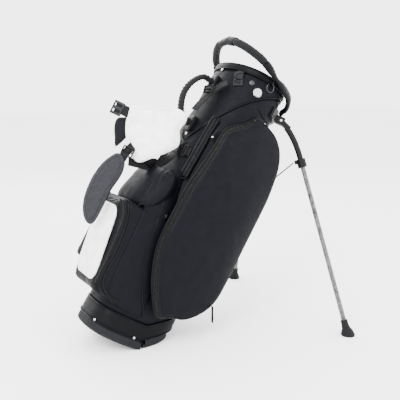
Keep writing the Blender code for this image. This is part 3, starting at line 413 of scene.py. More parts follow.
def woven(name, colour, rough=.8, pitch=(900.0, 900.0, 900.0), sheen=.25, strength=.6):
    """Plain weave: crossing waves along the tube and round it."""
    mat = finish(name, colour, rough, specular=.12, sheen=sheen)
    where = placed(mat)
    up = node(mat, "ShaderNodeTexWave", bands_direction="Z", Scale=pitch[2] / 6.28)
    up.inputs["Distortion"].default_value = .4
    over = node(mat, "ShaderNodeTexWave", bands_direction="DIAGONAL", Scale=pitch[0] / 6.28)
    over.inputs["Distortion"].default_value = .4
    join(mat, where, "Vector", up, "Vector")
    join(mat, where, "Vector", over, "Vector")
    fuzz = noise_node(mat, where, 1400.0, 2.0)
    vary(mat, where, colour, .78, 1.2, 120.0)
    bumps(mat, [(up, "Fac", strength, .0006), (over, "Fac", strength, .0006), (fuzz, "Fac", .3, .0004)])
    return mat


def plastic(name, colour, rough=(.32, .46), spec=.5):
    mat = finish(name, colour, sum(rough) / 2, specular=spec)
    where = placed(mat)
    fine = noise_node(mat, where, 900.0, 3.0)
    vary(mat, where, colour, .9, 1.1, 30.0)
    roughen(mat, where, *rough, 45.0)
    bumps(mat, [(fine, "Fac", .18, .0003)])
    return mat


def metal(name, colour, rough=(.2, .36)):
    mat = finish(name, colour, sum(rough) / 2, metallic=1.0)
    where = placed(mat, (1, 1, .06))
    lines = noise_node(mat, where, 1500.0, 2.0)
    roughen(mat, where, *rough, 300.0)
    bumps(mat, [(lines, "Fac", .12, .0002)])
    return mat


def forged_carbon():
    """Chopped carbon chips under a clear coat."""
    mat = finish("forged_carbon", (.03, .03, .034), .34, specular=.4, coat=.35)
    where = placed(mat, (1, 1, .45))
    chips = node(mat, "ShaderNodeTexVoronoi", feature="F1", Scale=190.0)
    bent = noise_node(mat, where, 60.0, 3.0)
    shift = node(mat, "ShaderNodeMixRGB", Fac=.05)
    join(mat, where, "Vector", shift, "Color1")
    join(mat, bent, "Color", shift, "Color2")
    join(mat, shift, "Color", chips, "Vector")
    split = node(mat, "ShaderNodeSeparateColor")
    join(mat, chips, "Color", split, "Color")
    colour_ramp(mat, split, "Red", (.25, (.005, .005, .006)), (.80, (.085, .086, .094)))
    roughen(mat, where, .24, .46, 200.0)
    bumps(mat, [(chips, "Distance", .15, .0003)])
    return mat


def rubber(name, colour, ribs=0.0):
    mat = finish(name, colour, .72, specular=.12)
    where = placed(mat)
    fine = noise_node(mat, where, 700.0, 4.0, .7)
    layers = [(fine, "Fac", .4, .0004)]
    if ribs:
        rings = node(mat, "ShaderNodeTexWave", bands_direction="Z", Scale=ribs)
        join(mat, where, "Vector", rings, "Vector")
        layers.append((rings, "Fac", .5, .0006))
    vary(mat, where, colour, .85, 1.25, 50.0)
    bumps(mat, layers)
    return mat


def netting(name, colour):
    """Knitted mesh: dark holes in a lighter net."""
    mat = finish(name, colour, .85, specular=.1, sheen=.03)
    where = placed(mat)
    holes = node(mat, "ShaderNodeTexVoronoi", feature="F1", Scale=330.0, Randomness=.12)
    join(mat, where, "Vector", holes, "Vector")
    colour_ramp(mat, holes, "Distance", (.34, (.002, .002, .002)), (.46, colour))
    bumps(mat, [(holes, "Distance", .8, .0012)])
    return mat


LEATHER = leather("pu_leather", (.0021, .0023, .0037), (.44, .60), spec=.050)
TRIM = leather("trim_leather", (.0013, .0014, .0020), (.38, .52), 620.0, .25, .06)
# Edging finish for the pipings, seams, welts, zip tabs and snap ring. Its near-black colour is partly the
# piping's own dark leather and partly painted shade: it is darker than the leather so the pipings read as the
# shadow lines along the seams.
EDGING_PAINTED_SHADE = leather("edging_painted_shade", (.0008, .0009, .0012), (.26, .36), 700.0, .15, .10)
WHITE = leather("white_leather", (.80, .80, .79), (.34, .46), 560.0, .3)
GREY = woven("grey_pad", (.0140, .0144, .0175), .74, (1000.0, 1000.0, 1000.0), .04)
LINING = woven("lining_knit", (.0034, .0036, .0046), .85, (1300.0, 1300.0, 1300.0), .04)
WEBBING = woven("webbing", (.0026, .0028, .0036), .68, (1500.0, 1500.0, 2600.0), .04, .9)
TAPE = woven("zip_tape", (.0012, .0013, .0018), .75, (2200.0, 2200.0, 2200.0), .02, .8)
THREAD = plastic("thread", (.0030, .0033, .0048), (.5, .65), .10)
PALE_THREAD = plastic("pale_thread", (.45, .45, .46), (.5, .65))
TEETH = plastic("zip_teeth", (.0025, .0026, .0032), (.24, .34), .2)
PLASTIC = plastic("moulded_plastic", (.0017, .0018, .0023), (.36, .50), .12)
GLOSS = plastic("gloss_plastic", (.0018, .0019, .0024), (.20, .30), .16)
STEEL = metal("steel", (.46, .46, .48))
DARK_STEEL = metal("dark_steel", (.035, .036, .040), (.28, .42))
CARBON = forged_carbon()
RUBBER = rubber("ribbed_rubber", (.0042, .0043, .0050), 90.0)
BOOT = rubber("boot_rubber", (.0046, .0050, .0064))
NET = netting("mesh_net", (.0095, .0100, .0120))


# ---- tube, cuff, collar and rim ------------------------------------------------------------
def wrinkle(p, amount, scale=14.0):
    return amount * noise.noise(Vector(p) * scale) + amount * .4 * noise.noise(Vector(p) * scale * 2.7)


def shell(name, low, high, offset, thick, finish_, node_, rows, wave=.0008):
    """Smooth wall that follows the tube between two edge curves, closed at both edges."""
    bm = bmesh.new()
    loops = []
    for row in range(rows + 1):
        share = row / rows
        ease = min(1.0, share * rows / 1.5, (1 - share) * rows / 1.5)
        loop = []
        for i in range(TURNS):
            angle = 360 * i / TURNS
            h = low(angle) + (high(angle) - low(angle)) * share
            p = skin(angle, h, offset - .0012 * (1 - ease))
            loop.append(bm.verts.new(p + skin_normal(angle, h) * wrinkle(p, wave * ease)))
        loops.append(loop)
    for row in range(rows, -1, -1):
        loop = []
        for i in range(TURNS):
            angle = 360 * i / TURNS
            height = low(angle) + (high(angle) - low(angle)) * row / rows
            loop.append(bm.verts.new(skin(angle, height, offset - thick)))
        loops.append(loop)
    loft(bm, loops, True)
    return piece(name, bm, finish_, nodes=[node_])


def skin_path(spots, lift, step=.003):
    """Evenly spaced path on the tube through (angle, height) spots, with its normals."""
    flat = even(smooth([(a / 100, h, 0) for a, h in spots], 10), step * 1.2)
    points = [skin(p.x * 100, p.y, lift) for p in flat]
    return points, [skin_normal(p.x * 100, p.y) for p in flat]


def tube():
    shell("tube_skin", lambda a: cuff_high(a) - .001, lambda a: seam(a) - .0004, 0, .004, LEATHER,
          "body_tube", 46)
    shell("collar_skin", lambda a: seam(a) + .0004, lambda a: RIM_HEIGHT, .0003, .004, LEATHER,
          "collar", 16, wave=.0004)
    shell("cuff_skin", cuff_low, cuff_high, .0012, .004, TRIM, "base_cuff", 10,
          wave=.0004)
    profile = [(.0006, .848), (.0030, .8490), (.0036, .852), (.0038, .858), (.0036, .863), (.0024, .8665),
               (-.0005, .868), (-.004, .868), (-.0075, .8672), (-.0096, .864), (-.010, .858), (-.010, .848)]
    bm = bmesh.new()
    loops = [[bm.verts.new(skin(360 * i / TURNS, RIM_HEIGHT, x) + Vector((0, 0, z - RIM_HEIGHT)))
              for i in range(TURNS)] for x, z in profile]
    loft(bm, loops, True)
    piece("rim_roll", bm, TRIM, nodes=["rim_band"])
    thread = bmesh.new()
    for name, curve, lift, gap in (("collar_seam_piping", seam, .0010, .0045),
                                   ("cuff_piping", cuff_high, .0010, -.005),
                                   ("rim_piping", lambda a: RIM_HEIGHT - .0005, .0030, -.0045),
                                   ("boot_seam_piping", lambda a: cuff_low(a) + .004, .0016, .0045)):
        angles = [2 * i for i in range(180)]
        line = [skin(a, curve(a), lift) for a in angles]
        normals = [skin_normal(a, curve(a)) for a in angles]
        piping(name, line, TRIM if "boot" in name else EDGING_PAINTED_SHADE, .0016, normals, True)
        row = [skin(a, curve(a) + gap, .0012) for a in angles]
        stitch_row(thread, row, [skin_normal(a, curve(a) + gap) for a in angles], True)
    for side, label in SIDES:
        spots = [(a * side, h) for a, h in ((135.4, .679), (144.7, .597), (145.5, .510))]
        points, normals = skin_path(spots, .0010)
        piping("side_seam_piping_" + label, points, EDGING_PAINTED_SHADE, .0017, normals)
        for shift in (-5, 5):
            points, normals = skin_path([(a + shift * side * .5, h) for a, h in spots], .0009)
            stitch_row(thread, points, normals)
    piece("tube_stitching", thread, THREAD)


# ---- the two big pockets ---------------------------------------------------------------------
OUTLINE = even(smooth([(x, 0, z) for x, z in D_EDGE], 8, True), .006, True)


def d_ring(share, flare=0.0):
    centre = Vector((D_CENTRE[0], 0, D_CENTRE[1]))
    ring = []
    for point in OUTLINE:
        away = point - centre
        spread = flare * min(1.0, max(0.0, (.09 - point.x) / .10))
        ring.append(centre + away * share + away.normalized() * spread)
    return ring


def d_line(share, flare, depth, side):
    """A closed line round the pocket at a distance from the bag's middle plane."""
    return [Vector((p.x, -side * depth, p.z)) for p in d_ring(share, flare)]


def gusset_line(share, lift, side):
    """A closed line on the zipped gusset: share 0 at the panel's edge, 1 where the wall starts."""
    return d_line(1.0, D_FLARE * share + lift, D_LIP + (D_ZIP - D_LIP) * share, side)


def away_from_centre(points, side, outwards=.75):
    centre = Vector((D_CENTRE[0], 0, D_CENTRE[1]))
    out = []
    for p in points:
        flat = (Vector((p.x, 0, p.z)) - centre).normalized()
        out.append((flat * outwards + Vector((0, -side * (1 - outwards), 0))).normalized())
    return out


def big_pocket(side, label):
    bm = bmesh.new()
    loops = []
    for share in (.06, .2, .34, .48, .6, .7, .79, .86, .915, .95, .972, .986, .995, 1.0):
        depth = D_FRONT + D_CROWN * (1 - share * share) * 1.02
        roll = .0035 * max(0.0, (share - .93) / .07) ** 2
        loop = []
        for p in d_line(share, 0, 0, side):
            puff = wrinkle((p.x, side * .3, p.z), .0022 * (1 - share ** 6), 9.0)
            loop.append(bm.verts.new((p.x, -side * (depth - roll + puff), p.z)))
        loops.append(loop)
    for p_depth in (.1435, .138):
        loops.append([bm.verts.new(p) for p in d_line(.995, 0, p_depth, side)])
    loft(bm, loops)
    panel = piece("big_pocket_panel_" + label, bm, LEATHER,
                  nodes=["apparel_pocket_" + label])
    bm = bmesh.new()
    rows = []
    for k in range(15):
        t = k / 14
        if t < .34:
            s = t / .34
            line = gusset_line(s, 0, side)
        else:
            s = (t - .34) / .66
            outer = d_line(1.0, D_FLARE, D_ZIP, side)
            line = []
            for p, rim in zip(outer, OUTLINE):
                root = Vector((rim.x * (.60 if rim.x < 0 else .46), -side * D_ROOT,
                               .42 + (rim.z - .42) * .82))
                q = p.lerp(root, s)
                q.y += wrinkle((q.x, side * .7, q.z), .0014 * math.sin(math.pi * s), 16.0)
                line.append(q)
        rows.append([bm.verts.new(p) for p in line])
    loft(bm, rows)
    piece("big_pocket_wall_" + label, bm, LEATHER)
    edge = d_line(1.002, 0, .1460, side)
    out = away_from_centre(edge, side, .4)
    piping("panel_piping_" + label, edge, EDGING_PAINTED_SHADE, .0020, out, True)
    outer = d_line(1.0, D_FLARE + .0008, D_ZIP + .001, side)
    out = away_from_centre(outer, side)
    piping("gusset_piping_" + label, outer, EDGING_PAINTED_SHADE, .0024, out, True)
    bm = bmesh.new()
    rows = []
    for lift, steps in ((.0010, range(7)), (-.0004, range(6, -1, -1))):
        for k in steps:
            line = gusset_line(.10 + .80 * k / 6, lift, side)
            rows.append([bm.verts.new(p) for p in line])
    loft(bm, rows, True)
    piece("big_zip_tape_" + label, bm, TAPE)
    middle = gusset_line(.5, .0012, side)
    bm = bmesh.new()
    dense = even(middle, .0016, True)
    teeth(bm, dense, away_from_centre(dense, side, .8), True)
    piece("big_zip_teeth_" + label, bm, TEETH)
    bm = bmesh.new()
    inner = d_line(.968, 0, D_FRONT + D_CROWN * .064 + .0004, side)
    stitch_row(bm, inner, [Vector((0, -side, 0))] * len(inner), True)
    for s in (.16, .84):
        line = gusset_line(s, .0014, side)
        stitch_row(bm, line, away_from_centre(line, side, .8), True, radius=.0004)
    piece("big_pocket_stitching_" + label, bm, THREAD)
    zip_slider("big_zip_slider_" + label, Vector((-.008, -side * .138, .7262)), (.9, -side * .25, .1),
               (-.45, 0, .9))


def zip_slider(name, centre, along, up):
    """Metal slider body with its puller folded over."""
    along, up = Vector(along).normalized(), Vector(up).normalized()
    up = (up - along * up.dot(along)).normalized()
    side = along.cross(up)
    bm = bmesh.new()
    for half, length, base, tall in ((.0042, .010, .0006, .0022), (.0016, .006, .0026, .0018)):
        rings = []
        for z, grow in ((base, .85), (base + tall * .25, 1), (base + tall * .75, 1), (base + tall, .8)):
            reach = along * length / 2 * grow
            rings.append([bm.verts.new(centre + side * half * x * grow + reach * y + up * z)
                          for x, y in ((-1, -.7), (-.6, -1), (.6, -1), (1, -.7),
                                       (1, .7), (.6, 1), (-.6, 1), (-1, .7))])
        loft(bm, rings)
    piece(name, bm, DARK_STEEL)
    bm = bmesh.new()
    path = [centre + along * x + up * z for x, z in
            ((.002, .0040), (.008, .0052), (.018, .0046), (.030, .0036), (.036, .0030))]
    sweep(bm, smooth(path, 4), [(-.0036, 0), (.0036, 0), (.0040, .0010), (.0030, .0018), (-.0030, .0018),
                                (-.0040, .0010)], [up] * 17)
    piece(name + "_tab", bm, EDGING_PAINTED_SHADE)
    piece(name + "_end", disc_bm(.0030, .0016, path[-2] + up * .0016, up), STEEL)


# ---- soft pieces ------------------------------------------------------------------------------
def copy_of(node_name, name, voxel):
    """A soft copy of a CAD solid: evenly meshed, ready to be filled."""
    source = NODES[node_name]
    mesh = source.data.copy()
    mesh.name = name
    mesh.materials.clear()
    obj = bpy.data.objects.new(name, mesh)
    bpy.context.scene.collection.objects.link(obj)
    weld = obj.modifiers.new("weld", "WELD")
    weld.merge_threshold = .0001
    remesh = obj.modifiers.new("even", "REMESH")
    remesh.mode = "VOXEL"
    remesh.voxel_size = voxel
    relax = obj.modifiers.new("relax", "SMOOTH")
    relax.factor = .6
    relax.iterations = 4
    bake(obj)
    return obj


def bake(obj):
    deps = bpy.context.evaluated_depsgraph_get()
    mesh = bpy.data.meshes.new_from_object(obj.evaluated_get(deps), depsgraph=deps)
    obj.modifiers.clear()
    obj.data = mesh


def fill(jobs):
    """Blows the soft pieces up with a short cloth simulation, with each point's motion capped."""
    for obj, pressure in jobs:
        cloth = obj.modifiers.new("fill", "CLOTH")
        cloth.settings.quality = 5
        cloth.settings.mass = .25
        cloth.settings.tension_stiffness = 20
        cloth.settings.compression_stiffness = 20
        cloth.settings.shear_stiffness = 6
        cloth.settings.bending_stiffness = 1.5
        cloth.settings.use_pressure = True
        cloth.settings.uniform_pressure_force = pressure
        cloth.settings.effector_weights.gravity = 0
        cloth.point_cache.frame_start = 1
        cloth.point_cache.frame_end = 20
    for at in range(1, 21):
        bpy.context.scene.frame_set(at)
    for obj, _ in jobs:
        rest = [v.co.copy() for v in obj.data.vertices]
        bake(obj)
        for v, was in zip(obj.data.vertices, rest):
            move = v.co - was
            if move.length > MOST_SWELL:
                v.co = was + move.normalized() * MOST_SWELL
    bpy.context.scene.frame_set(1)
    for obj, _ in jobs:
        soft = obj.modifiers.new("soft", "SMOOTH")
        soft.factor = .5
        soft.iterations = 3
        finer = obj.modifiers.new("finer", "SUBSURF")
        finer.levels = finer.render_levels = 1
        bake(obj)
        for polygon in obj.data.polygons:
            polygon.use_smooth = True


def middle_line(obj, centre, facing):
    """The closed outline where a pad meets its own middle plane, in the bag's frame."""
    bm = bmesh.new()
    bm.from_mesh(obj.data)
    bm.transform(UNBAG)
    made = bmesh.ops.bisect_plane(bm, geom=bm.verts[:] + bm.edges[:] + bm.faces[:], plane_co=centre,
                                  plane_no=facing, dist=1e-6)
    ring = {}
    for e in made["geom_cut"]:
        if isinstance(e, bmesh.types.BMEdge):
            a, b = e.verts
            ring.setdefault(a, []).append(b)
            ring.setdefault(b, []).append(a)
    best = []
    seen = set()
    for start in ring:
        if start in seen:
            continue
        loop, here, last = [], start, None
        while here is not None and here not in seen:
            seen.add(here)
            loop.append(here.co.copy())
            onward = [v for v in ring[here] if v is not last and v not in seen]
            last, here = here, (onward[0] if onward else None)
        if len(loop) > len(best):
            best = loop
    bm.free()
    line = even(best, .004, True)
    for _ in range(3):
        line = [(line[i - 1] + line[i] * 2 + line[(i + 1) % len(line)]) / 4 for i in range(len(line))]
    return line


def dress(obj, finish_, body, node_names):
    obj.data.materials.clear()
    obj.data.materials.append(finish_)
    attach(obj, body)
    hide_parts(*node_names)


def settle(obj):
    """Lets the upper pocket sag outwards and down by set amounts, towards the pocket below it."""
    for v in obj.data.vertices:
        p = UNBAG @ v.co
        low = max(0.0, min(1.0, (.492 - p.z) / .114))
        out = max(0.0, min(1.0, (-.112 - p.x) / .050))
        p.x -= POCKET_SAG_OUT * low ** 1.2 * out
        p.z -= POCKET_SAG_DOWN * low * out
        v.co = BAG @ p


def point_down(obj):
    """Draws the lower half of the yoke's lining out into a leaf tip."""
    spots = [UNBAG @ v.co for v in obj.data.vertices]
    low, high = min(p.z for p in spots), max(p.z for p in spots)
    middle = sum(spots, Vector()) / len(spots)
    for v, p in zip(obj.data.vertices, spots):
        down = max(0.0, (low + (high - low) * .55 - p.z) / ((high - low) * .55))
        shrink = 1 - LEAF_SHRINK * down ** 1.5
        v.co = BAG @ Vector((middle.x + (p.x - middle.x) * shrink, middle.y + (p.y - middle.y) * shrink,
                             p.z - LEAF_DROP * down ** 1.5))


def pads_and_pockets():
    plan = [("strap_yoke_pad", "yoke_pad", .004, 4.0, WHITE, "white_leather", .6),
            ("strap_yoke_lining", "yoke_lining", .0035, 3.0, LINING, "padded_fabric", .5),
            ("shoulder_pad", "shoulder_cushion", .004, 4.0, GREY, "grey_pad", .7),
            ("upper_pocket", "upper_pouch", .005, 3.0, LEATHER, "pu_leather", .5),
            ("ball_pocket", "ball_pouch", .005, 3.0, LEATHER, "pu_leather", .5),
            ("mesh_pocket", "mesh_pouch", .004, 2.0, NET, "mesh", .3)]
    made = {}
    jobs = []
    for source, name, voxel, pressure, *_ in plan:
        made[name] = copy_of(source, name, voxel)
        if source == "mesh_pocket":
            for v in made[name].data.vertices:
                p = UNBAG @ v.co
                v.co = BAG @ Vector((p.x, p.y, MESH_BASE + (p.z - MESH_BASE) * MESH_STRETCH))
        if source == "upper_pocket":
            settle(made[name])
        if source == "strap_yoke_lining":
            point_down(made[name])
        jobs.append((made[name], pressure))
    fill(jobs)
    for source, name, _, _, finish_, slot, share in plan:
        dress(made[name], finish_, "root", [source])
    return made


def pad_frame(across, up):
    across = Vector(across).normalized()
    facing = across.cross(Vector(up)).normalized()
    return across, facing.cross(across), facing


def strap_details(made):
    facing = pad_frame((.8, -.6, 0), (0, 0, 1))[2]
    for name, centre, colour in (("yoke_pad", (-.215, -.030, .569), WHITE),
                                 ("yoke_lining", (-.284, .040, .545), TRIM),
                                 ("shoulder_cushion", (-.279, -.024, .360), TRIM)):
        line = middle_line(made[name], Vector(centre), facing)
        if len(line) > 20:
            piping(name + "_piping", line, colour, .0019, [facing] * len(line), True)
            tree = tree_of(made[name])
            heart = sum(line, Vector()) / len(line)
            inner = [p + (heart - p).normalized() * .008 + facing * .02 for p in line]
            points, normals = drape(tree, inner, .0004)
            bm = bmesh.new()
            stitch_row(bm, points, normals, True)
            back, normals_back = drape(tree, [p - facing * .04 for p in inner], .0004)
            stitch_row(bm, back, normals_back, True)
            piece(name + "_stitching", bm, PALE_THREAD if colour is WHITE else THREAD)


def drape_along(tree, spots, direction, lift):
    """Drops spots onto the surface along a direction."""
    points, normals = [], []
    for p in spots:
        hit, normal, _, _ = tree.ray_cast(p, direction)
        if hit is None:
            hit, normal, _, _ = tree.find_nearest(p)
        points.append(hit - Vector(direction) * lift)
        normals.append(normal)
    return points, normals


def webbing():
    for name, path, width, node_name in (("upper_web", UPPER_WEB, .024, "strap_webbing_upper"),
                                         ("lower_web", LOWER_WEB, .025, "strap_webbing_lower")):
        line = even(smooth(path, 8), .003)
        tang = tangents(line)
        across = Vector((-.3, .9, 0)) if "upper" in name else Vector((0, 1, 0))
        normals = [across.normalized().cross(t).normalized() for t in tang]
        normals = [n if n.x < 0 else -n for n in normals]
        if "lower" in name:
            count = len(line) - 1
            turned = [max(0.0, min(1.0, (k / count - .22) / .25)) for k in range(count + 1)]
            normals = [(Vector((-1, 0, .1)).lerp(Vector((-.45, -.85, .25)), t)).normalized() for t in turned]
        section = [(x, y - .0008) for x, y in strap_section(width, .0018)]
        swept(name, line, section, normals, WEBBING, [node_name])
        bm = bmesh.new()
        for share in (-.40, .40):
            row = [p + t.cross(n).normalized() * width * share + n * .0011
                   for p, t, n in zip(line, tang, normals)]
            stitch_row(bm, row, normals)
        piece(name + "_stitching", bm, THREAD)


def lock_web():
    """Webbing laid on the tube from the ladder lock towards the near side, with its frame and tab."""
    points, normals = skin_path([(183, .567), (172, .567), (162, .566), (153, .566)], .0012)
    swept("lock_web", points, strap_section(.024, .0018), normals, WEBBING)
    bm = bmesh.new()
    for angle in (160, 166):
        spots, outs = skin_path([(angle, .550), (angle, .5665), (angle, .583)], .0040)
        sweep(bm, spots, round_section(.0022, 8), outs)
    for height in (.551, .582):
        spots, outs = skin_path([(159.5, height), (163, height), (166.5, height)], .0040)
        sweep(bm, spots, round_section(.0022, 8), outs)
    piece("lock_frame", bm, PLASTIC)
    bm = bmesh.new()
    rings = []
    for y, share in ((-.0120, .93), (-.0125, 1.0), (-.0155, 1.0), (-.0160, .93)):
        corners = [Vector((x, y, z)) for x, z in ((-.219, .485), (-.195, .4985), (-.171, .510),
                                                  (-.1695, .491), (-.168, .472), (-.1935, .4785))]
        heart = sum(corners, Vector()) / 6
        rings.append([bm.verts.new(heart.lerp(p, share)) for p in corners])
    loft(bm, rings)
    piece("strap_tab", bm, TRIM)


def strap_links():
    """Short webbing that joins the yoke to its buckle and the shoulder cushion."""
    across, up, facing = pad_frame((.8, -.6, 0), (0, 0, 1))
    buckle_path = [(-.292, .026, .586), (-.304, .036, .588), (-.318, .048, .588), (-.328, .057, .587)]
    cushion_path = [(-.252, -.012, .512), (-.262, -.014, .492), (-.268, -.018, .470), (-.271, -.020, .452)]
    for name, path, width in (("buckle_link", buckle_path, .030), ("cushion_link", cushion_path, .024)):
        line = even(smooth(path, 8), .003)
        normals = [Vector((-.6, -.8, 0)) if name == "buckle_link" else facing] * len(line)
        section = [(x, y - .001) for x, y in strap_section(width, .0022)]
        swept(name, line, section, normals, WEBBING)
    bm = bmesh.new()
    centre = Vector((-.262, -.016, .484))
    corners = []
    for x, y in ((-.016, -.012), (.016, -.012), (.016, .012), (-.016, .012)):
        corners.append(centre + across * x + up * y + facing * .004)
    frame_line = even(corners + corners[:1], .002)[:-1]
    sweep(bm, frame_line, round_section(.0022, 8), [facing] * len(frame_line), True)
    sweep(bm, [centre + across * -.016 + facing * .004, centre + across * .016 + facing * .004],
          round_section(.0020, 8), [facing] * 2)
    piece("cushion_loop", bm, PLASTIC)


# ---- handles ------------------------------------------------------------------------------------
def arm_share(t):
    """Share of the arm's section: narrowed to clear the swinging towel ring, wider at the arm's foot."""
    return 1 - .46 * math.exp(-((t - .73) / .10) ** 2) + .18 * max(0, 1 - t / .4)


def grip_share(t):
    """Share of the grip's section: drawn in at both ends, with a slight ripple of the wrap."""
    return .80 + .20 * min(1.0, t * 12, (1 - t) * 12) + .02 * math.sin(t * 40)


def handles():
    path = smooth(HANDLE_PATH, 8)
    arm, grip, crown = path[:33], path[32:51], path[50:]
    for side, label in SIDES:
        flip = Vector((1, side, 1))
        line = even([p * flip for p in arm], .004)
        for k, p in enumerate(line):
            line[k] = p - Vector((p.x, p.y, 0)).normalized() * ARM_INWARDS * max(0.0, 1 - k / len(line) / .55)
        normals = []
        for p in line:
            normals.append(Vector((p.x * .3, p.y, 0)).normalized() * .8 + Vector((0, 0, .35)))
        section = [(.0142 * x, .0068 * y) for x, y in ((-1, 0), (-.93, .5), (-.7, .85), (0, 1), (.7, .85),
                   (.93, .5), (1, 0), (.93, -.5), (.7, -.85), (0, -1), (-.7, -.85), (-.93, -.5))]
        swept("handle_arm_" + label, line, section, normals, TRIM,
              ["lift_handle_arm_" + label], arm_share)
        bm = bmesh.new()
        for share in (-.0108, .0108):
            last = round(len(line) * .50)
            row = [p + t.cross(n.normalized()) * share + n.normalized() * .0058
                   for p, t, n in zip(line, tangents(line), normals)][:last]
            stitch_row(bm, row, [n.normalized() for n in normals][:last])
        piece("handle_arm_stitching_" + label, bm, THREAD)
        line = even([p * flip for p in grip], .003)
        cover = swept("grip_cover_" + label, line, round_section(.0118, 20), None, LINING,
                      ["lift_grip_" + label], grip_share)
        bm = bmesh.new()
        row = [p + Vector((0, 0, -.0119)) for p in line[2:-2]]
        stitch_row(bm, row, [Vector((0, 0, -1))] * len(row))
        piece("grip_stitching_" + label, bm, THREAD)
    line = crown + [p * Vector((1, -1, 1)) for p in reversed(crown[:-1])]
    line = even(line, .003)
    outs = [(Vector((p.x, p.y, 0)).normalized() + Vector((0, 0, .15))).normalized() for p in line]
    swept("handle_crown", line, round_section(.0148, 24, .64), outs, TRIM,
          ["lift_handle_crown"])


def grab_handle():
    top, bottom = skin(180, .792, .011), skin(180, .652, .011)
    bow = [top, top + Vector((-.034, 0, -.002)), Vector((-.178, 0, .752)), Vector((-.182, 0, .708)),
           bottom + Vector((-.036, 0, .010)), bottom]
    line = even(smooth(bow, 8), .0025)
    normals = []
    for t in tangents(line):
        normals.append(Vector((0, 1, 0)).cross(t).normalized())
    normals = [n if n.x < .2 else -n for n in normals]
    bm = bmesh.new()
    section = [(x * .0130, y * .0062) for x, y in ((-1, 0), (-.9, .6), (-.6, 1), (.6, 1), (.9, .6), (1, 0),
                                                    (.9, -.6), (.6, -1), (-.6, -1), (-.9, -.6))]
    rings = []
    for k, (p, n, s) in enumerate(frames(line, normals)):
        rib = 1.0 + .30 * max(0.0, math.sin(k * math.tau / 4)) if 4 < k < len(line) - 5 else 1.0
        rings.append([bm.verts.new(p + s * x * (1 + (rib - 1) * .25) + n * y * rib) for x, y in section])
    loft(bm, rings)
    piece("grab_strap", bm, RUBBER, nodes=["grab_handle"])


# ---- small parts on the near side ----------------------------------------------------------------
def slit_zip():
    """Narrow welted zip on the band beside the big pocket; its slider is a CAD piece."""
    spots = [(141.5, .684), (141.8, .66), (141.8, .62), (141.8, .58), (141.6, .54), (141.5, .496)]
    points, normals = skin_path(spots, .0092, .002)
    base, base_n = skin_path(spots, .0004, .002)
    welt = [(-.015, 0), (.015, 0), (.0138, .0058), (.0100, .0082), (-.0100, .0082), (-.0138, .0058)]
    swept("slit_zip_base", base, welt, base_n, LEATHER, ["valuables_pocket"])
    section = [(x, y - .0006) for x, y in strap_section(.0125, .0010)]
    swept("slit_zip_tape", points, section, normals, TAPE)
    bm = bmesh.new()
    lifted = [p + n * .0005 for p, n in zip(points, normals)]
    teeth(bm, lifted, normals, pitch=.0015, reach=.0018)
    piece("slit_zip_teeth", bm, TEETH)
    tang = tangents(points)
    loop = [p + t.cross(n) * .0098 + n * -.0004 for p, t, n in zip(points, tang, normals)]
    back = [p - t.cross(n) * .0098 + n * -.0004 for p, t, n in zip(points, tang, normals)]
    end = [points[-1] + Vector((0, 0, -.0085)) + normals[-1] * -.0006]
    head = [points[0] + Vector((0, 0, .006)) + normals[0] * -.0006]
    full = even(smooth(loop[::6] + end + list(reversed(back))[::6] + head, 6, True), .003, True)
    piping("slit_zip_welt", full, EDGING_PAINTED_SHADE, .0021, [Vector((-.78, -.62, 0))] * len(full), True)


def tube_details():
    piece("collar_snap", disc_bm(.0082, .0036, skin(121, .824, .0006), skin_normal(121, .824)), DARK_STEEL)
    for k, (angle, height) in enumerate(((180, .842), (180, .735), (180, .620))):
        piece("rivet_%d" % k, disc_bm(.0048, .0026, skin(angle, height, .0006), skin_normal(angle, height)),
              STEEL)
    points, normals = skin_path([(93, .769), (80, .757), (64, .755)], .0010)
    piping("collar_dart", points, EDGING_PAINTED_SHADE, .0014, normals)
    low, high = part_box("valuables_zip_slider")
    centre, normal = UNBAG @ ((low + high) / 2), skin_normal(141.6, .64)
    start = centre + Vector((0, 0, -.012)) + normal * .03
    spot, _ = drape_along(tree_of(NODES["valuables_zip_slider"]), [start], -normal, .0002)
    piece("valuables_pull_rivet", disc_bm(.0026, .0014, spot[0], normal), STEEL, "valuables_slider")
    low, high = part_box("collar_buckle")
    centre, normal = UNBAG @ ((low + high) / 2), skin_normal(128, .820)
    side = Vector((0, 0, 1)).cross(normal).normalized()
    up = normal.cross(side)
    face = tree_of(NODES["collar_buckle"])
    bm = bmesh.new()
    middle = centre + normal * .04 + up * .006
    turns = [math.tau * i / 40 for i in range(40)]
    hoop = [middle + (side * math.cos(a) + up * math.sin(a)) * .0098 for a in turns]
    points, _ = drape_along(face, hoop, -normal, .0012)
    sweep(bm, points, round_section(.0018, 8), [normal] * 40, True)
    for z in (-.014, -.0105):
        rib = [centre + normal * .04 + up * z + side * x for x in (-.010, -.004, .004, .010)]
        points, _ = drape_along(face, rib, -normal, .0008)
        sweep(bm, points, round_section(.0014, 8), [normal] * 4)
    piece("collar_buckle_ribs", bm, GLOSS)
    for side, label in SIDES:
        for k, angle in enumerate((91, 155)):
            at = angle * side
            h = cuff_low(at) + .006
            piece("boot_rivet_%s_%d" % (label, k),
                  disc_bm(.0036, .0022, skin(at, h, .0020), skin_normal(at, h)), STEEL)


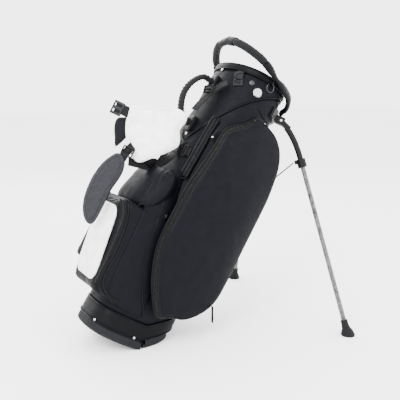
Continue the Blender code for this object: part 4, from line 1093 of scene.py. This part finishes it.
def ball_front():
    """White front panel of the ball pocket with its piped, stitched edge."""
    lean = math.atan2(.040, .260)
    across = Vector((0, 1, 0))
    up = Vector((-math.sin(lean), 0, math.cos(lean)))
    out = Vector((-math.cos(lean), 0, -math.sin(lean)))
    centre = Vector((-.216, 0, .232)) + out * .0046
    half_w, half_h, corner = .067, .104, .027
    outline = []
    for sx, sy, start in ((1, 1, 0), (-1, 1, 90), (-1, -1, 180), (1, -1, 270)):
        for k in range(9):
            a = math.radians(start + 90 * k / 8)
            outline.append(Vector((sx * (half_w - corner) + corner * math.cos(a),
                                   sy * (half_h - corner) + corner * math.sin(a), 0)))
    outline = even(outline, .006, True)

    def ring(share, lift):
        return [centre + across * p.x * share + up * p.y * share + out * lift for p in outline]

    bm = bmesh.new()
    loops = []
    for share, lift in ((.05, .0088), (.3, .0085), (.55, .0077), (.75, .0066), (.88, .0053), (.95, .0040),
                        (.985, .0026), (1.0, .0004), (1.0, -.0045)):
        loop = []
        for p in ring(share, lift):
            loop.append(bm.verts.new(p + out * wrinkle(p, .0009 * (1 - share ** 4), 15)))
        loops.append(loop)
    loft(bm, loops)
    front = piece("ball_front", bm, WHITE, nodes=["ball_pocket_front"])
    rim = ring(1.005, -.0005)
    piping("ball_front_piping", rim, WHITE, .0020, [out] * len(rim), True)
    bm = bmesh.new()
    row = ring(.945, .0046)
    stitch_row(bm, row, [out] * len(row), True)
    piece("ball_front_stitching", bm, PALE_THREAD)


def side_panel(side, label, tree):
    """Leather panel that carries the pockets' side smoothly over onto the tube."""
    flip = Vector((1, side, 1))
    front = smooth([(-.156, -.062, .496), (-.172, -.070, .440), (-.176, -.078, .395), (-.176, -.0925, .340),
                    (-.174, -.0935, .270), (-.172, -.094, .200), (-.166, -.096, .130),
                    (-.146, -.098, .100)], 8)
    front, _ = drape(tree, [p * flip for p in front], .0004)
    front = [p * flip for p in front]
    middle = smooth([(-.134, -.086, .502), (-.140, -.098, .440), (-.132, -.108, .385), (-.121, -.115, .330),
                     (-.117, -.117, .270), (-.116, -.116, .200), (-.112, -.113, .130),
                     (-.106, -.106, .088)], 8)
    edge = ((141, .508), (134, .440), (122, .385), (110, .330), (102, .270), (98, .205), (95, .145),
            (93, .088))
    back = smooth([skin(a, h, .0004) for a, h in edge], 8)
    bm = bmesh.new()
    rings = []
    for a, b, c in zip(front, middle, back):
        ring = []
        for inner in (0, 1):
            for i in (range(17) if not inner else range(16, -1, -1)):
                t = i / 16
                p = a * (1 - t) ** 2 + b * 2 * t * (1 - t) + c * t * t
                out = Vector((p.x * .5, p.y, 0)).normalized()
                p = p + out * (wrinkle(p, .0010) * math.sin(math.pi * t) - .0035 * inner)
                ring.append(bm.verts.new(p * flip))
        rings.append(ring)
    loft(bm, rings)
    return piece("side_panel_" + label, bm, LEATHER)


def pocket_lines(made):
    """Pipings, zips and stitching that lie on the soft pockets."""
    tree = tree_of(made["ball_pouch"], made["upper_pouch"])
    sides = {NEAR: side_panel(NEAR, "near", tree), FAR: side_panel(FAR, "far", tree)}
    spot, normal, _, _ = tree_of(sides[NEAR]).find_nearest(Vector((-.108, -.110, .372)))
    if normal.y > 0:
        normal = -normal
    spot = spot + normal * .0008
    piece("snap_ring", disc_bm(.0118, .0028, spot, normal, ((1, 0), (1, .5), (.93, 1), (.74, .8), (.70, .2))),
          EDGING_PAINTED_SHADE)
    piece("snap_dome", disc_bm(.0078, .0052, spot, normal), GLOSS)
    thread = bmesh.new()
    for side, label in SIDES:
        def mirrored(path):
            return even(smooth([(x, y * side, z) for x, y, z in path], 8), .002)

        piped = [(-.226, -.062, .368), (-.215, -.078, .350), (-.204, -.085, .317), (-.195, -.086, .269),
                 (-.191, -.086, .220), (-.192, -.083, .183), (-.193, -.082, .153), (-.184, -.083, .121),
                 (-.160, -.092, .103), (-.130, -.100, .098)]
        joined = tree_of(made["ball_pouch"], sides[side])
        run = [Vector((x, y * side, z)) for x, y, z in (
            (-.137, -.094, .500), (-.142, -.100, .440), (-.136, -.108, .398), (-.130, -.112, .352),
            (-.124, -.114, .300), (-.117, -.116, .245), (-.100, -.114, .200), (-.066, -.112, .146),
            (-.030, -.108, .094))]
        points, normals = drape(joined, even(smooth(run, 8), .003), .0008)
        piping("side_seam_lower_" + label, points, EDGING_PAINTED_SHADE, .0017, normals)
        for gap in (-.0055, .0055):
            row = [p + t.cross(n) * gap for p, t, n in zip(points, tangents(points), normals)]
            row, row_n = drape(joined, row, .0005)
            stitch_row(thread, row, row_n)
        for name, back in (("ball_piping_a_", 0), ("ball_piping_b_", .0065)):
            shifted = [(x + back, y - back * .25, z + (back if z < .13 else 0)) for x, y, z in piped]
            points, normals = drape(joined, mirrored(shifted), .0006)
            piping(name + label, points, EDGING_PAINTED_SHADE, .0023, normals)
        tape = [(-.238, -.060, .366), (-.231, -.073, .350), (-.218, -.080, .321), (-.209, -.081, .262),
                (-.205, -.080, .216), (-.203, -.077, .168), (-.199, -.074, .141), (-.192, -.070, .112)]
        points, normals = drape(tree, mirrored(tape), .0004)
        section = [(x, y - .0008) for x, y in strap_section(.016, .0018)]
        swept("ball_zip_tape_" + label, points, section, normals, TAPE)
        bm = bmesh.new()
        lifted = [p + n * .0010 for p, n in zip(points, normals)]
        teeth(bm, lifted, normals, pitch=.0016, reach=.0020)
        piece("ball_zip_teeth_" + label, bm, TEETH)
        for gap in (-.0105, .0105):
            row = [p + t.cross(n) * gap for p, t, n in zip(points, tangents(points), normals)]
            row, row_n = drape(tree, row, .0005)
            stitch_row(thread, row, row_n)
        upper = [(-.150, -.058, .492), (-.169, -.067, .465), (-.172, -.073, .437), (-.171, -.073, .406),
                 (-.161, -.060, .380)]
        points, normals = drape(tree, mirrored(upper), .0005)
        piping("upper_piping_" + label, points, EDGING_PAINTED_SHADE, .0017, normals)
        inner = [(-.146, -.074, .488), (-.161, -.080, .468), (-.161, -.088, .426), (-.150, -.082, .386)]
        points, normals = drape(tree, mirrored(inner), .0004)
        section = [(x, y - .0006) for x, y in strap_section(.010, .0014)]
        swept("upper_zip_tape_" + label, points, section, normals, TAPE)
        bm = bmesh.new()
        teeth(bm, [p + n * .0008 for p, n in zip(points, normals)], normals, pitch=.0015, reach=.0016)
        piece("upper_zip_teeth_" + label, bm, TEETH)
        join_line = [(-.205, -.085, .368), (-.180, -.095, .366), (-.139, -.101, .358)]
        points, normals = drape(tree, mirrored(join_line), .0005)
        piping("pocket_seam_" + label, points, EDGING_PAINTED_SHADE, .0015, normals)
    piece("pocket_stitching", thread, THREAD)


# ---- CAD pieces that stay, with better finishes -----------------------------------------------------
def keep(finish_, *names):
    for name in names:
        obj = NODES[name]
        obj.data.materials.clear()
        obj.data.materials.append(finish_)
        for polygon in obj.data.polygons:
            polygon.material_index = 0


def hard_parts():
    keep(PLASTIC, "leg_bracket", "leg_sleeve_near", "leg_sleeve_far", "strut_clamp_near", "strut_clamp_far",
         "actuator_slider", "rod_guide", "grab_anchor_top", "grab_anchor_bottom", "inner_floor",
         "slide_buckle", "ladder_lock", "yoke_buckle", "collar_buckle")
    keep(STEEL, "leg_pivot_pin_near", "leg_pivot_pin_far", "toe_hinge_pin", "medallion")
    keep(DARK_STEEL, "towel_ring", "strut_near", "strut_far", "push_rod", "near_stay", "far_stay",
         "spine_stay")
    keep(CARBON, "leg_tube_near", "leg_tube_far")
    keep(RUBBER, "foot_near", "foot_far")
    keep(BOOT, "boot_heel", "boot_toe")
    keep(TRIM, "towel_ring_loop", "apparel_zip_pull", "ball_zip_pull", "valuables_zip_slider")
    keep(LINING, "top_divider", "front_divider", "rear_divider")


def set_stage():
    bm = bmesh.new()
    bmesh.ops.create_grid(bm, x_segments=1, y_segments=1, size=14)
    mesh = bpy.data.meshes.new("floor")
    bm.to_mesh(mesh)
    bm.free()
    floor = bpy.data.objects.new("floor", mesh)
    bpy.context.scene.collection.objects.link(floor)
    paint = finish("floor_paint", (.93, .93, .93), .9, specular=.1)
    mesh.materials.append(paint)
    world = bpy.data.worlds.new("studio")
    world.use_nodes = True
    world.node_tree.nodes["Background"].inputs["Color"].default_value = (1, 1, 1, 1)
    world.node_tree.nodes["Background"].inputs["Strength"].default_value = 4.4
    bpy.context.scene.world = world
    for name, place, aim, power, size in (("key", (-1.9, -1.7, 2.5), (0, 0, .45), 150, 1.2),
                                          ("fill", (1.9, -2.3, 1.3), (0, 0, .4), 40, 1.8),
                                          ("back", (.6, 2.4, 2.2), (0, 0, .5), 60, 1.6)):
        lamp = bpy.data.lights.new(name, "AREA")
        lamp.energy, lamp.size = power, size
        obj = bpy.data.objects.new(name, lamp)
        obj.location = place
        obj.rotation_euler = (Vector(aim) - Vector(place)).to_track_quat("-Z", "Y").to_euler()
        bpy.context.scene.collection.objects.link(obj)
    lens = bpy.data.cameras.new("camera")
    lens.lens, lens.sensor_width, lens.shift_x, lens.shift_y = 54, 36, .03, -.0225
    lens.dof.use_dof = False
    camera = bpy.data.objects.new("camera", lens)
    camera.location = (-.645, -1.55, .733)
    camera.rotation_euler = (Vector((.214, 0, .42)) - camera.location).to_track_quat("-Z", "Y").to_euler()
    bpy.context.scene.collection.objects.link(camera)
    bpy.context.scene.camera = camera


set_stage()
hard_parts()
tube()
big_pocket(NEAR, "near")
big_pocket(FAR, "far")
SOFT = pads_and_pockets()
strap_details(SOFT)
webbing()
lock_web()
strap_links()
handles()
grab_handle()
slit_zip()
tube_details()
ball_front()
pocket_lines(SOFT)
